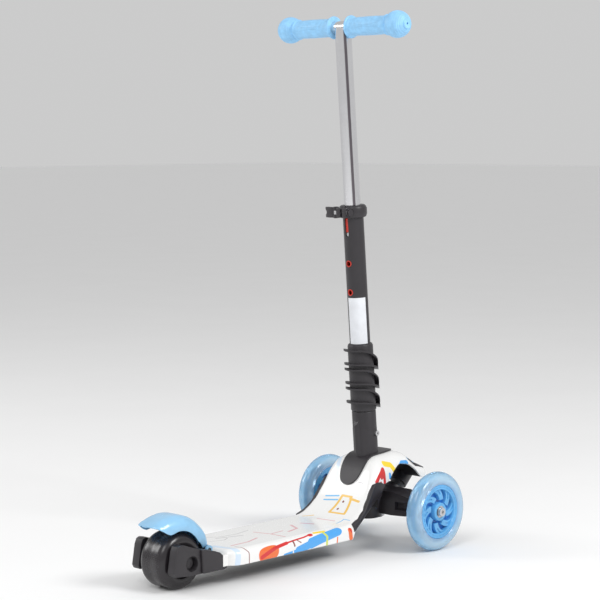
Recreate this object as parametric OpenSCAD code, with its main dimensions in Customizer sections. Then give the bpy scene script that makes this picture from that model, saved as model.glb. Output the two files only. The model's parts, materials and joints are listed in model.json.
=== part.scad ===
// Children's three-wheel kick scooter.
// X points forward, Y to the rider's left and Z up. The wheels stand on Z = 0.
// The origin is the middle of the footprint. Sizes are in millimetres.

/* [Wheels] */
// Outer diameter of a front wheel
front_wheel_d = 120; // [116:1:122]
// Width of a front tyre
front_wheel_w = 24; // [22:1:25]
// Distance between the middles of the two front wheels
front_track = 226; // [222:1:236]
// Outer diameter of the rear wheel
rear_wheel_d = 80; // [76:1:82]
// Width of the rear tyre over both treads
rear_wheel_w = 50; // [46:1:51]
// Distance from the front axle back to the rear axle
wheel_base = 434; // [425:1:450]
// Number of swirl spokes in a front wheel
spoke_count = 8; // [6:1:9]

/* [Deck] */
// Width of the foot deck
deck_w = 120; // [116:1:124]
// Height of the deck's top above the floor
deck_top = 50; // [49:0.5:51]
// Thickness of the moulded deck cover
shell_t = 4; // [3:0.5:4]

/* [Steering] */
// Height of the handlebar's middle above the floor
bar_height = 788; // [770:1:800]
// Length of the handlebar over its ball ends
bar_length = 258; // [240:2:300]
// Backward rake of the stem in degrees
rake = 4.56; // [4.2:0.02:4.8]
// Lean of the steering axis in degrees from level
lean_axis = 45; // [43:1:47]

/* [Clamp] */
// How far the clamp lever is swung out, in degrees
lever_open = 56; // [0:1:70]

/* [Hidden] */
$fn = 64;

axle_x = 205;
far = 400;
tiny = 0.1;
fit = 0.05;

front_r = front_wheel_d / 2;
rear_r = rear_wheel_d / 2;
rear_x = -wheel_base;
side_y = front_track / 2;
deck_half = deck_w / 2;

// The hump over the front axle
deck_rear = -376;
slope_foot = -127;
slope_head = -53;
tray_rear = -335;
hump_half = 48;
hump_top = 138;
crown_r = 30;
nose_x = 74;
nose_z = 104;
fin_turn = 8.7;
screw_x = [-352, -291, -171];
screw_y = [-16, 16];

// Stem
stem_x = -28.2;
stem_z = 100;
lower_r = 15.75;
lower_bore = 14.5;
upper_r = 12.5;
upper_bore = 11;
liner_bore = upper_r + 0.15;
liner_low = 240;
socket_r = 18.5;
sleeve_r = 19.5;
hood_r = 26;
hood_wall = 2.8;
hood_pitch = 29.6;
hood_count = 3;
sleeve_low = 108;
sleeve_high = 212;
label_low = 212.5;
label_high = 283.5;
label_turn = 215;
label_w = 26;
tube_low = 14;
bolt_x = 5;
bolt_s = 72;
bolt_r = 2.5;
hood_top = 204.5;
tube_high = 421;
button_s = 380;
hole_pitch = 44;
slit_w = 6;
hole_r = 3.2;
clamp_low = 405;
clamp_high = 424;
clamp_r = 21;
skewer_s = clamp_low + 9.5;
skewer_r = 2.5;
upper_low = 356;
bar_s = (bar_height - stem_z) / cos(rake);
bar_half = bar_length / 2;
grip_start = 16;
ball_r = 20;
bar_r = 9.5;

// Steering axis
king_x = 3;
king_z = 44;
king_r = 5;
king_low = 14;
king_high = 46;
bush_t = 10;
bush_r = 11;
boss_out = 17;
post_r = 14;
head_s = 18;
post_low = king_high + bush_t;

// Bearings and axles
bearing_r = 11;
bearing_t = 7;
axle_r = 4;
rim_r = 41;
boss_half = 11;
boss_r = 14;
rear_hub_half = 19;
front_bearing_at = boss_half - 0.5 - bearing_t / 2;
rear_bearing_at = rear_hub_half - bearing_t / 2;

// Rear end
arm_out = 42;
arm_in = 30.5;
pin_x = -386;
pin_z = 50;
fender_in = 55;
fender_shift = 6;
fender_half = 27.5;
fender_wall = 3;
fender_gap = 3;
fender_r = fender_in + fender_wall;
pin_r = 2.5;
arm_seat_r = 9.5;

// Clamp lever
lever_pivot_x = -21;
lever_pivot_y = 15;

function arc(cx, cy, r, from, to, n) =
    [for (i = [0:n]) [cx + r * cos(from + (to - from) * i / n), cy + r * sin(from + (to - from) * i / n)]];

module place() {
    translate([axle_x, 0, 0]) children();
}

// Turns a side outline (X and Z) into a solid of the given width, centred on the middle plane
module side(width) {
    translate([0, width / 2, 0]) rotate([90, 0, 0]) linear_extrude(width) children();
}

module cyl_y(r, from, to, x, z) {
    translate([x, to, z]) rotate([90, 0, 0]) cylinder(r = r, h = to - from);
}

module at_stem() {
    place() translate([stem_x, 0, stem_z]) rotate([0, -rake, 0]) children();
}

module at_king() {
    place() translate([king_x, 0, king_z]) rotate([0, 90 - lean_axis, 0]) children();
}

module both_sides() {
    children();
    mirror([0, 1, 0]) children();
}

// ---- Deck ----

// Side outline of the deck and hump, drawn in by a margin
module hump_outline(m) {
    polygon(concat(
        [[deck_rear + m, 20], [deck_rear + m, deck_top - m], [slope_foot - 12, deck_top - m]],
        arc(slope_foot - 12, deck_top + 60 - m, 60, -90, -42, 8),
        [[-53 + m * 0.6, hump_top - 5 - m], [-44, hump_top - m], [4, hump_top + 2 - m]],
        arc(4, hump_top - 38 + m, 40 - 2 * m, 88, 35, 8),
        [[nose_x - m, nose_z + 2], [nose_x - m, 20]]));
}

module deck_plan(m) {
    x0 = deck_rear + m;
    r = 26 - m;
    w = deck_half - m;
    h = hump_half - m;
    polygon(concat(
        arc(x0 + r, -(w - r), r, 180, 270, 8),
        [[-128, -w], [-60, -h], [28, -h]],
        arc(28, -(h - 34), nose_x - m - 28, -45, 0, 6),
        arc(28, h - 34, nose_x - m - 28, 0, 45, 6),
        [[28, h], [-60, h], [-128, w]],
        arc(x0 + r, w - r, r, 90, 180, 8)));
}

// Cross section of the deck, with rounded upper edges
module deck_section(m) {
    w = deck_half - m;
    top = deck_top - m;
    r = 11 - m / 2;
    union() {
        translate([-w, 0]) square([2 * w, top - r]);
        translate([-(w - r), 0]) square([2 * (w - r), top]);
        translate([w - r, top - r]) circle(r);
        translate([-(w - r), top - r]) circle(r);
    }
}

// Cross section of the hump, with a rounded crown
module hump_section(m) {
    h = deck_half - m;
    n = hump_half - m;
    r = crown_r - m;
    top = hump_top + 3 - m;
    union() {
        translate([-h, 0]) square([2 * h, 100]);
        translate([-n, 0]) square([2 * n, top - r]);
        translate([-(n - r), 0]) square([2 * (n - r), top]);
        translate([n - r, top - r]) circle(r);
        translate([-(n - r), top - r]) circle(r);
    }
}

module along_x(from, to) {
    translate([from, 0, 0]) rotate([90, 0, 90]) linear_extrude(to - from) children();
}

module deck_block(m, floor_z) {
    intersection() {
        side(deck_w) hump_outline(m);
        translate([0, 0, floor_z]) linear_extrude(far) deck_plan(m);
        union() {
            along_x(-far, slope_foot - 11) deck_section(m);
            along_x(slope_foot - 11.5, 100) hump_section(m);
        }
    }
}

// Open mouth in the hump's side walls, over the truck
module truck_mouth(width) {
    side(width) polygon(concat(
        [[-124, 20], [-124, 27], [-54, 60], [-38, 94]],
        arc(4, 94, 38, 160, 35, 10),
        [[48, 97], [nose_x + 10, 97], [nose_x + 10, 20]]));
}

module socket_hole(r) {
    at_stem() translate([0, 0, -40]) cylinder(r = r, h = far);
}

module deck_shell() {
    color("white") difference() {
        place() difference() {
            deck_block(0, 28);
            deck_block(shell_t, 0);
            truck_mouth(deck_w + 20);
            side(2 * arm_out + 1) translate([deck_rear - 1, 20]) square([shell_t + 3, 24]);
        }
        socket_hole(socket_r + 0.3);
    }
}

// Leaf-shaped strap beside the hump, from the deck's edge up to the arch
module side_fin() {
    translate([slope_foot, deck_half + tiny, 0]) rotate([0, 0, -fin_turn]) translate([-slope_foot, 3, 0])
        rotate([90, 0, 0]) linear_extrude(3) polygon(concat(
            [[-127, 43], [-118, 33], [-54, 60], [-50, 70]],
            arc(-63, 89, 13, 0, 110, 6), [[-92, 80]]));
}

// Lip under the edge of the hump's side wall, which carries the straps
module fin_lip() {
    intersection() {
        side(deck_w + 10) polygon([[-112, 32], [-54, 59.5], [-48, 59.5], [-52, 55.5], [-112, 28]]);
        linear_extrude(far) polygon([
            [slope_foot, deck_half + 3], [-48, hump_half + 3],
            [-48, -hump_half - 3], [slope_foot, -deck_half - 3]]);
    }
}

// Solid core of the chassis between two stations, open round the truck
module chassis_core(from, to) {
    difference() {
        intersection() {
            deck_block(shell_t + tiny, 30);
            translate([from, -far, 0]) cube([to - from, 2 * far, far]);
        }
        truck_mouth(deck_w + 20);
    }
}

module stem_hole() {
    at_stem() translate([0, 0, tube_low]) cylinder(r = socket_r + fit, h = far);
}

// Flat rear part of the chassis, with its rib pockets and screw bosses
module chassis_tray() {
    color("dimgray") difference() {
        place() union() {
            difference() {
                chassis_core(tray_rear, slope_foot);
                for (x = [-328:40:-168], y = [-33, 0, 33])
                    translate([x, y - 15 + abs(y) / 33, 20]) cube([34, 30 - 2 * abs(y) / 33, 24]);
            }
            for (x = [-291, -171], y = screw_y) translate([x, y, 30]) cylinder(r = 5, h = 14);
        }
        screw_holes();
    }
}

// Rising part of the chassis, with the fins beside it
module chassis_slope() {
    color("dimgray") place() union() {
        difference() {
            chassis_core(slope_foot + tiny, slope_head - tiny);
            for (y = [-25, 0, 25])
                translate([-98, y - 11, 20]) cube([26, 22, 50]);
        }
        both_sides() side_fin();
        fin_lip();
    }
}

// Front part of the chassis, which holds the stem and the kingpin
module chassis_nose() {
    color("dimgray") difference() {
        union() {
            place() chassis_core(slope_head, far);
            at_king() translate([0, 0, post_low]) cylinder(r = post_r, h = 26);
        }
        stem_hole();
        at_king() translate([0, 0, -20]) cylinder(r = king_r + fit, h = 110);
        at_king() translate([0, 0, post_low + head_s]) cylinder(r = 9, h = 40);
    }
}

module arm_outline() {
    polygon(concat(
        [[-466, 26], [-458, 26], [-386, 26]],
        arc(-383, 33, 7.5, -80, 20, 4),
        [[-384, 47], [-392, 50.5], [-410, 55], [-430, 61], [-452, 69.5], [-456, 66]]));
}

module rear_fork() {
    color("dimgray") place() difference() {
        union() {
            both_sides() translate([0, arm_out, 0]) rotate([90, 0, 0])
                linear_extrude(arm_out - arm_in) arm_outline();
            translate([-392, -arm_in - 1, 27]) cube([15.5, 2 * arm_in + 2, 14]);
            translate([-378, -arm_in, 30]) cube([40, 2 * arm_in, 12]);
            translate([pin_x - 5, -22, 40]) cube([10, 44, 10]);
            cyl_y(6, -22, 22, pin_x, pin_z);
        }
        cyl_y(pin_r + fit, -30, 30, pin_x, pin_z);
        cyl_y(axle_r + fit, -60, 60, rear_x, rear_r);
        both_sides() cyl_y(arm_seat_r, arm_out - 7, 60, rear_x, rear_r);
        cyl_y(rear_r + 2, -arm_in + 2, arm_in - 2, rear_x, rear_r);
        translate([pin_x - 7, -6, 43]) cube([14, 12, 20]);
        translate([-axle_x, 0, 0]) screw_holes();
    }
}

module screw_holes() {
    place() for (x = screw_x, y = screw_y) translate([x, y, 20]) cylinder(r = 1.6, h = 20);
}

module deck_screws() {
    color("silver") place() for (x = screw_x, y = screw_y) translate([x, y, 28]) {
        cylinder(r = 4, h = 2);
        cylinder(r = 1.6, h = 12);
    }
}

// ---- Stem ----

// Oval plate that hugs the hump behind the socket
module base_plate() {
    color("dimgray") difference() {
        place() intersection() {
            difference() {
                side(deck_w) translate([-3, 2.5]) hump_outline(0);
                side(deck_w) hump_outline(0);
            }
            linear_extrude(far) union() {
                translate([-52, 0]) circle(23);
                translate([-6, 0]) circle(23);
                translate([-52, -23]) square([46, 46]);
            }
        }
        socket_hole(socket_r + 0.2);
    }
}

module stem_socket() {
    color("dimgray") at_stem() difference() {
        union() {
            translate([0, 0, tube_low]) cylinder(r = socket_r, h = sleeve_low - tube_low - 1);
            translate([-9.5, 0, 42]) intersection() {
                rotate(45) translate([-9, -9, 0]) cube([18, 18, 44]);
                translate([-20, -20, 0]) cube([20, 40, 44]);
            }
        }
        translate([0, 0, tube_low + 6]) cylinder(r = lower_r + fit, h = far);
        translate([bolt_x, 0, bolt_s]) rotate([90, 0, 0]) cylinder(r = bolt_r + fit, h = 60, center = true);
    }
}

module socket_bolt() {
    color("silver") at_stem() translate([bolt_x, 0, bolt_s]) rotate([90, 0, 0]) difference() {
        union() {
            translate([0, 0, -20.5]) cylinder(r = bolt_r, h = 40);
            translate([0, 0, 18.7]) cylinder(r = 4.2, h = 3);
        }
        translate([0, 0, 20]) cylinder(r = 1.9, h = 4, $fn = 6);
    }
}

module socket_nut() {
    color("silver") at_stem() translate([bolt_x, 21.9, bolt_s]) rotate([90, 0, 0]) difference() {
        cylinder(r = 4.3, h = 3.1, $fn = 6);
        translate([0, 0, -1]) cylinder(r = bolt_r + fit, h = 6);
    }
}

module lower_tube() {
    color("dimgray") at_stem() difference() {
        translate([0, 0, tube_low + 6]) cylinder(r = lower_r, h = tube_high - tube_low - 6);
        translate([0, 0, tube_low]) cylinder(r = lower_bore, h = 2 * far);
        translate([bolt_x, 0, bolt_s]) rotate([90, 0, 0]) cylinder(r = bolt_r + fit, h = 60, center = true);
        translate([-lower_r - 5, -slit_w / 2, button_s]) cube([9, slit_w, far]);
        for (i = [0:2]) translate([-lower_r - 5, 0, button_s - i * hole_pitch])
            rotate([0, 90, 0]) cylinder(r = i == 0 ? slit_w / 2 : 5, h = 9);
    }
}

module tube_liner() {
    color("red") at_stem() difference() {
        translate([0, 0, liner_low]) cylinder(r = lower_bore - fit, h = tube_high - liner_low);
        translate([0, 0, liner_low - 1]) cylinder(r = liner_bore, h = far);
        translate([-20, -hole_r - 0.3, liner_low - 1]) cube([15, 2 * hole_r + 0.6, button_s + 5 - liner_low]);
    }
}

module height_grommets() {
    color("red") at_stem() for (i = [1:2]) intersection() {
        translate([-lower_r - 2, 0, button_s - i * hole_pitch]) rotate([0, 90, 0]) difference() {
            cylinder(r = 5, h = 3.2);
            translate([0, 0, -1]) cylinder(r = 3.6, h = 9);
        }
        translate([0, 0, 200]) difference() {
            cylinder(r = lower_r + 0.6, h = 200);
            translate([0, 0, -1]) cylinder(r = lower_bore, h = 210);
        }
    }
}

// Side outline of one hood: level at the back, dropping at the front
module hood() {
    intersection() {
        translate([0, 0, -32]) cylinder(r = hood_r, h = 34);
        side(2 * hood_r + 2) polygon(concat(
            [[-40, 0], [-4, 0]],
            arc(-4, -30, 30, 90, 12, 8),
            [[26, -29], [-2, -25], [-40, -23], [-40, -20.2], [-2, -22.2], [16, -24.8]],
            arc(-4, -30, 30 - hood_wall, 42, 90, 5),
            [[-40, -hood_wall]]));
    }
}

module seat_bracket_sleeve() {
    color("dimgray") at_stem() difference() {
        union() {
            translate([0, 0, sleeve_low]) cylinder(r = sleeve_r, h = sleeve_high - 6 - sleeve_low);
            translate([0, 0, sleeve_high - 6]) intersection() {
                cylinder(r = sleeve_r, h = 5);
                translate([0, 0, -12]) sphere(r = 23.5);
            }
            for (i = [0:hood_count - 1]) translate([0, 0, hood_top - i * hood_pitch]) hood();
        }
        translate([0, 0, sleeve_low - 20]) cylinder(r = lower_r + fit, h = far);
        translate([0, 0, sleeve_low - 60]) cylinder(r = socket_r + 2, h = 58);
    }
}

module blank_label() {
    color("white") at_stem() intersection() {
        translate([0, 0, label_low]) difference() {
            cylinder(r = lower_r + 0.25, h = label_high - label_low);
            translate([0, 0, -1]) cylinder(r = lower_r, h = far);
        }
        rotate([0, 0, label_turn]) translate([0, -label_w / 2, 0]) cube([30, label_w, far]);
    }
}

module clamp_collar() {
    color("dimgray") at_stem() difference() {
        union() {
            translate([0, 0, clamp_low]) intersection() {
                cylinder(r = clamp_r, h = clamp_high - clamp_low);
                translate([0, 0, (clamp_high - clamp_low) / 2]) sphere(r = 22.8);
            }
            translate([-27, -10, clamp_low + 2]) cube([12, 20, 15]);
        }
        translate([0, 0, clamp_low - 1]) cylinder(r = lower_r + fit, h = tube_high - clamp_low + 1.2);
        translate([0, 0, clamp_low]) cylinder(r = upper_r + 0.4, h = 40);
        translate([-40, -1.5, clamp_low - 1]) cube([30, 3, 40]);
        translate([lever_pivot_x, 0, skewer_s]) rotate([90, 0, 0]) {
            cylinder(r = skewer_r + fit, h = 60, center = true);
            translate([0, 0, 10]) cylinder(r = 6.4, h = 20);
        }
    }
}

module clamp_skewer() {
    color("silver") at_stem() difference() {
        union() {
            translate([lever_pivot_x, 0, skewer_s]) rotate([90, 0, 0])
                translate([0, 0, -lever_pivot_y]) cylinder(r = skewer_r, h = lever_pivot_y + 15);
            translate([lever_pivot_x, lever_pivot_y, clamp_low + 6.7]) cylinder(r = 3.6, h = 5.6);
        }
        translate([lever_pivot_x, lever_pivot_y, clamp_low]) cylinder(r = 2, h = 20);
    }
}

module clamp_nut() {
    color("dimgray") at_stem() translate([lever_pivot_x, 0, skewer_s]) rotate([90, 0, 0])
        translate([0, 0, 10.1]) difference() {
            union() {
                cylinder(r = 6, h = 3);
                cylinder(r = 5, h = 6);
            }
            translate([0, 0, -1]) cylinder(r = skewer_r + fit, h = 6);
        }
}

// Pin through the skewer's eye, which the lever turns on
module lever_pin() {
    color("silver") at_stem() translate([lever_pivot_x, lever_pivot_y, clamp_low + 1.5])
        cylinder(r = 2, h = 16);
}

module clamp_lever() {
    color("dimgray") at_stem() translate([lever_pivot_x, lever_pivot_y, clamp_low + 1]) difference() {
        union() {
            cylinder(r = 4.6, h = 17);
            rotate([0, 0, lever_open]) translate([-lever_pivot_x, -lever_pivot_y, 0.5]) difference() {
                intersection() {
                    cylinder(r = 27.5, h = 16);
                    linear_extrude(16) polygon([[0, 0], [-38, 27], [-20, 60], [6, 60]]);
                }
                translate([0, 0, -1]) cylinder(r = 22.4, h = 19);
                rotate([0, 0, 84]) translate([20, 0, 8]) rotate([0, 90, 0]) cylinder(r = 3, h = 12);
            }
        }
        translate([0, 0, -1]) cylinder(r = 2 + fit, h = 19);
        translate([0, 0, 5.5]) cylinder(r = 5, h = 6);
    }
}

// ---- Handlebar ----

module upper_tube() {
    color("silver") at_stem() difference() {
        translate([0, 0, upper_low]) cylinder(r = upper_r, h = bar_s - upper_low);
        translate([0, 0, upper_low - 1]) cylinder(r = upper_bore, h = bar_s - upper_low - 12);
        translate([0, 0, bar_s]) rotate([90, 0, 0]) cylinder(r = bar_r, h = 60, center = true);
        translate([-20, 0, button_s]) rotate([0, 90, 0]) cylinder(r = hole_r, h = 15);
    }
}

module crossbar() {
    color("silver") at_stem() translate([0, 0, bar_s]) rotate([90, 0, 0]) difference() {
        cylinder(r = bar_r, h = 2 * (bar_half - 10), center = true);
        cylinder(r = bar_r - 1.5, h = bar_length, center = true);
    }
}

// Grip outline: radius against the distance along the bar
module grip() {
    ball_y = bar_half - ball_r;
    at_stem() translate([0, 0, bar_s]) rotate([-90, 0, 0]) difference() {
        rotate_extrude() difference() {
            union() {
                translate([0, grip_start]) square([17, 3.5]);
                translate([0, grip_start + 3]) square([15.5, 4]);
                translate([0, grip_start + 6]) square([13.5, ball_y - grip_start]);
                intersection() {
                    translate([0, ball_y]) circle(ball_r);
                    translate([0, ball_y - 15]) square([ball_r, bar_half - ball_y + 14]);
                }
            }
            translate([-10, 0]) square([bar_r + 10, bar_half - 10]);
            translate([-10, 0]) square([10, bar_length]);
        }
        cylinder(r = 1.6, h = bar_length);
    }
}

module grip_left() {
    color("lightskyblue") grip();
}

module grip_right() {
    color("lightskyblue") mirror([0, 1, 0]) grip();
}

module tube_end_plug() {
    color("dimgray") at_stem() translate([0, 0, upper_low]) difference() {
        union() {
            cylinder(r = upper_bore, h = 12);
            translate([0, 0, -2]) cylinder(r = upper_r, h = 2);
        }
        translate([0, 0, -3]) cylinder(r = 8, h = 20);
    }
}

// Flat leaf spring that pushes the button out
module button_spring() {
    color("silver") at_stem() union() {
        translate([6.5, -3, button_s - 10]) cube([1, 6, 26]);
        translate([-4.4, -3, button_s + 14]) cube([11.4, 6, 2]);
        translate([-4.4, -3, button_s - 10]) cube([1, 6, 25]);
        translate([6.5, -3, button_s - 10]) cube([4.2, 6, 2]);
    }
}

module snap_button() {
    color("silver") at_stem() translate([0, 0, button_s]) rotate([0, -90, 0]) union() {
        translate([0, 0, 7.5]) cylinder(r = hole_r - fit, h = 6.4);
        translate([0, 0, 7]) cylinder(r = 4.4, h = 2);
    }
}

// ---- Front truck ----

module truck_beam() {
    color("dimgray") difference() {
        union() {
            place() intersection() {
                rotate([90, 0, 90]) translate([0, 0, -60]) linear_extrude(120) polygon([
                    [-98, 49], [-42, 46], [42, 46], [98, 49], [98, 72], [46, 82], [-46, 82], [-98, 72]]);
                linear_extrude(far) polygon([
                    [-14, -98], [14, -98], [20, -50], [20, 50], [14, 98], [-14, 98], [-20, 50], [-20, -50]]);
            }
            at_king() translate([0, 0, king_low]) cylinder(r = boss_out, h = king_high - king_low);
        }
        at_king() translate([0, 0, -30]) cylinder(r = king_r + fit, h = 110);
        at_king() translate([0, 0, -30]) cylinder(r = 13, h = 30 + king_low);
        place() both_sides() cyl_y(axle_r, 60, 99, 0, front_r);
        for (a = [-1, 1]) place() translate([-25, a * 62 - 13, 56]) cube([13, 26, 12]);
    }
}

module kingpin_bolt() {
    color("silver") at_king() union() {
        translate([0, 0, -5]) cylinder(r = king_r, h = post_low + 23);
        translate([0, 0, post_low + head_s]) cylinder(r = 8, h = 6, $fn = 6);
    }
}

module kingpin_dome_nut() {
    color("silver") at_king() difference() {
        union() {
            translate([0, 0, -5]) cylinder(r = 8, h = 6.9, $fn = 6);
            intersection() {
                translate([0, 0, -4]) sphere(r = 7);
                translate([0, 0, -13]) cylinder(r = 7, h = 9);
            }
        }
        translate([0, 0, -5.1]) cylinder(r = king_r, h = 20);
    }
}

module kingpin_washer() {
    color("silver") at_king() translate([0, 0, 1.9]) difference() {
        cylinder(r = 12, h = 2);
        translate([0, 0, -1]) cylinder(r = king_r, h = 4);
    }
}

module kingpin_bushings() {
    color("gray") at_king() for (s = [king_low - bush_t, king_high])
        translate([0, 0, s + 0.15]) difference() {
        cylinder(r = bush_r, h = bush_t - 0.3);
        translate([0, 0, -1]) cylinder(r = king_r, h = bush_t + 2);
    }
}

module front_axle_bolts() {
    color("silver") place() both_sides() {
        cyl_y(axle_r, 62, side_y + boss_half + 2, 0, front_r);
        difference() {
            cyl_y(6.5, side_y + boss_half + 0.9, side_y + boss_half + 4, 0, front_r);
            translate([0, side_y + boss_half + 6, front_r]) rotate([90, 0, 0])
                cylinder(r = 2.9, h = 4, $fn = 6);
        }
    }
}

module ring_y(r_out, r_in, from, to, x, z) {
    difference() {
        cyl_y(r_out, from, to, x, z);
        cyl_y(r_in, from - 1, to + 1, x, z);
    }
}

module front_axle_washers() {
    color("silver") place() both_sides()
        ring_y(7.5, axle_r, side_y + boss_half - 0.2, side_y + boss_half + 0.9, 0, front_r);
}

module front_axle_spacers() {
    color("silver") place() both_sides() ring_y(6, axle_r, 98, side_y - boss_half + 0.3, 0, front_r);
}

// ---- Wheels ----

module wheel_y(x, y, z) {
    place() translate([x, y, z]) rotate([90, 0, 0]) children();
}

module front_tyre() {
    rotate_extrude($fn = 96) difference() {
        translate([front_r - front_wheel_w / 2, 0]) circle(front_wheel_w / 2);
        square([2 * rim_r, front_wheel_w + 2], center = true);
    }
}

// One swirl spoke: half of a ring that starts at the hub and sweeps out to the rim
module spoke(w) {
    intersection() {
        translate([0, 21]) difference() {
            circle(21 + w / 2);
            circle(21 - w / 2);
        }
        square([60, 80]);
    }
}

module spoke_disc(w) {
    intersection() {
        difference() {
            circle(35);
            circle(boss_r - 1);
        }
        union() {
            for (i = [0:spoke_count - 1]) rotate(i * 360 / spoke_count) spoke(w);
        }
    }
}

module front_hub() {
    difference() {
        union() {
            cylinder(r = boss_r, h = 2 * boss_half, center = true);
            difference() {
                cylinder(r = rim_r, h = 19, center = true);
                cylinder(r = 34, h = 30, center = true);
                difference() {
                    cylinder(r = rim_r + 1, h = 12, center = true);
                    cylinder(r = rim_r - 4, h = 13, center = true);
                }
            }
            translate([0, 0, -6]) linear_extrude(12) spoke_disc(5.4);
        }
        for (s = [-1, 1]) translate([0, 0, s * 7]) linear_extrude(2.5, center = true) spoke_disc(1.6);
        cylinder(r = bearing_r - 2, h = 40, center = true);
        for (s = [-1, 1]) translate([0, 0, s * (boss_half - bearing_t / 2)])
            cylinder(r = bearing_r, h = bearing_t + 1, center = true);
    }
}

module light_ring() {
    difference() {
        cylinder(r = rim_r - 0.05, h = 11.8, center = true);
        cylinder(r = rim_r - 4 + 0.05, h = 12, center = true);
    }
}

module bearing() {
    difference() {
        union() {
            cylinder(r = bearing_r, h = bearing_t - 0.6, center = true);
            difference() {
                cylinder(r = bearing_r, h = bearing_t, center = true);
                cylinder(r = bearing_r - 2, h = bearing_t + 1, center = true);
            }
            cylinder(r = 6, h = bearing_t, center = true);
        }
        cylinder(r = axle_r + fit, h = bearing_t + 1, center = true);
    }
}

module bearing_pair(offset) {
    for (s = [-1, 1]) translate([0, 0, s * offset]) bearing();
}

module sleeve_between(half) {
    difference() {
        cylinder(r = 6, h = 2 * half, center = true);
        cylinder(r = axle_r + fit, h = 2 * half + 1, center = true);
    }
}

module front_tyre_left() {
    color("lightskyblue") wheel_y(0, side_y, front_r) front_tyre();
}

module front_tyre_right() {
    color("lightskyblue") wheel_y(0, -side_y, front_r) front_tyre();
}

module front_hub_left() {
    color("deepskyblue") wheel_y(0, side_y, front_r) mirror([0, 0, 1]) front_hub();
}

module front_hub_right() {
    color("deepskyblue") wheel_y(0, -side_y, front_r) front_hub();
}

module light_ring_left() {
    color("royalblue") wheel_y(0, side_y, front_r) light_ring();
}

module light_ring_right() {
    color("royalblue") wheel_y(0, -side_y, front_r) light_ring();
}

module front_bearings_left() {
    color("silver") wheel_y(0, side_y, front_r) bearing_pair(front_bearing_at);
}

module front_bearings_right() {
    color("silver") wheel_y(0, -side_y, front_r) bearing_pair(front_bearing_at);
}

module bearing_sleeve_left() {
    color("silver") wheel_y(0, side_y, front_r) sleeve_between(front_bearing_at - bearing_t / 2);
}

module bearing_sleeve_right() {
    color("silver") wheel_y(0, -side_y, front_r) sleeve_between(front_bearing_at - bearing_t / 2);
}

module rear_tyre() {
    tread_r = 12;
    tread_y = rear_wheel_w / 2 - tread_r;
    color("dimgray") wheel_y(rear_x, 0, rear_r) rotate_extrude($fn = 96) difference() {
        union() {
            for (s = [-1, 1]) translate([rear_r - tread_r, s * tread_y]) circle(tread_r);
            translate([20, -tread_y]) square([rear_r - 22, 2 * tread_y]);
        }
        translate([0, -rear_hub_half]) square([20, 2 * rear_hub_half]);
        for (s = [-1, 1]) translate([-2, s * 25 - 6]) square([27, 12]);
    }
}

module rear_hub() {
    color("dimgray") wheel_y(rear_x, 0, rear_r) difference() {
        cylinder(r = 20, h = 2 * rear_hub_half, center = true);
        cylinder(r = bearing_r - 2, h = 60, center = true);
        for (s = [-1, 1]) translate([0, 0, s * rear_bearing_at])
            cylinder(r = bearing_r, h = bearing_t, center = true);
        for (s = [-1, 1]) translate([0, 0, s * rear_hub_half]) difference() {
            cylinder(r = 18, h = 8, center = true);
            cylinder(r = 13, h = 9, center = true);
        }
    }
}

module rear_bearings() {
    color("silver") wheel_y(rear_x, 0, rear_r) bearing_pair(rear_bearing_at);
}

module rear_bearing_sleeve() {
    color("silver") wheel_y(rear_x, 0, rear_r) sleeve_between(rear_bearing_at - bearing_t / 2);
}

module rear_axle_spacers() {
    color("silver") place() both_sides() ring_y(6, axle_r, rear_hub_half + 0.2, arm_in, rear_x, rear_r);
}

module rear_axle_bolt() {
    color("silver") place() union() {
        cyl_y(axle_r, -38, 38.5, rear_x, rear_r);
        difference() {
            cyl_y(6.5, -38.5, -35, rear_x, rear_r);
            translate([rear_x, -37, rear_r]) rotate([90, 0, 0]) cylinder(r = 2.9, h = 4, $fn = 6);
        }
    }
}

module rear_axle_nut() {
    color("silver") place() translate([rear_x, 39.5, rear_r]) rotate([90, 0, 0]) difference() {
        cylinder(r = 7.5, h = 4.5, $fn = 6);
        translate([0, 0, -1]) cylinder(r = axle_r, h = 7);
    }
}

// ---- Rear brake ----

// Side outline inside which the fender's crown and skirts lie
module fender_side() {
    difference() {
        intersection() {
            translate([-fender_shift, fender_shift]) circle(fender_r);
            polygon([[0, 0], [56, 9], [80, 90], [-27, 90], [-34, 57], [-40, 52], [-27, 39.5], [-21, 36]]);
        }
        circle(rear_r + fender_gap);
    }
}

// Foot tongue that flares up at the fender's tail
module fender_tongue() {
    intersection() {
        side(44) polygon([[-24, 61], [-33, 57.4], [-41, 54.8], [-48, 54.6], [-55.5, 56.5], [-55.5, 54],
            [-48, 51.6], [-40, 51.8], [-32, 54.3], [-24, 57.9]]);
        linear_extrude(far) union() {
            translate([-42, -22]) square([30, 44]);
            translate([-35.5, 0]) circle(20);
        }
    }
}

module rear_fender() {
    color("lightskyblue") difference() {
        place() translate([rear_x, 0, rear_r]) difference() {
            union() {
                side(2 * fender_half) fender_side();
                fender_tongue();
                cyl_y(6, -fender_half, fender_half, pin_x - rear_x, pin_z - rear_r);
            }
            difference() {
                cyl_y(fender_in, fender_wall - fender_half, fender_half - fender_wall,
                    -fender_shift, fender_shift);
                translate([-18, -12, 30]) cube([16, 24, 40]);
            }
            cyl_y(7, -24, 24, pin_x - rear_x, pin_z - rear_r);
        }
        place() cyl_y(pin_r + fit, -60, 60, pin_x, pin_z);
    }
}

module fender_hinge_pin() {
    color("dimgray") place() cyl_y(pin_r, -28.5, 28.5, pin_x, pin_z);
}

module fender_spring() {
    color("silver") place() ring_y(4.6, 2.6, -5, 5, pin_x, pin_z);
}

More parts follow.
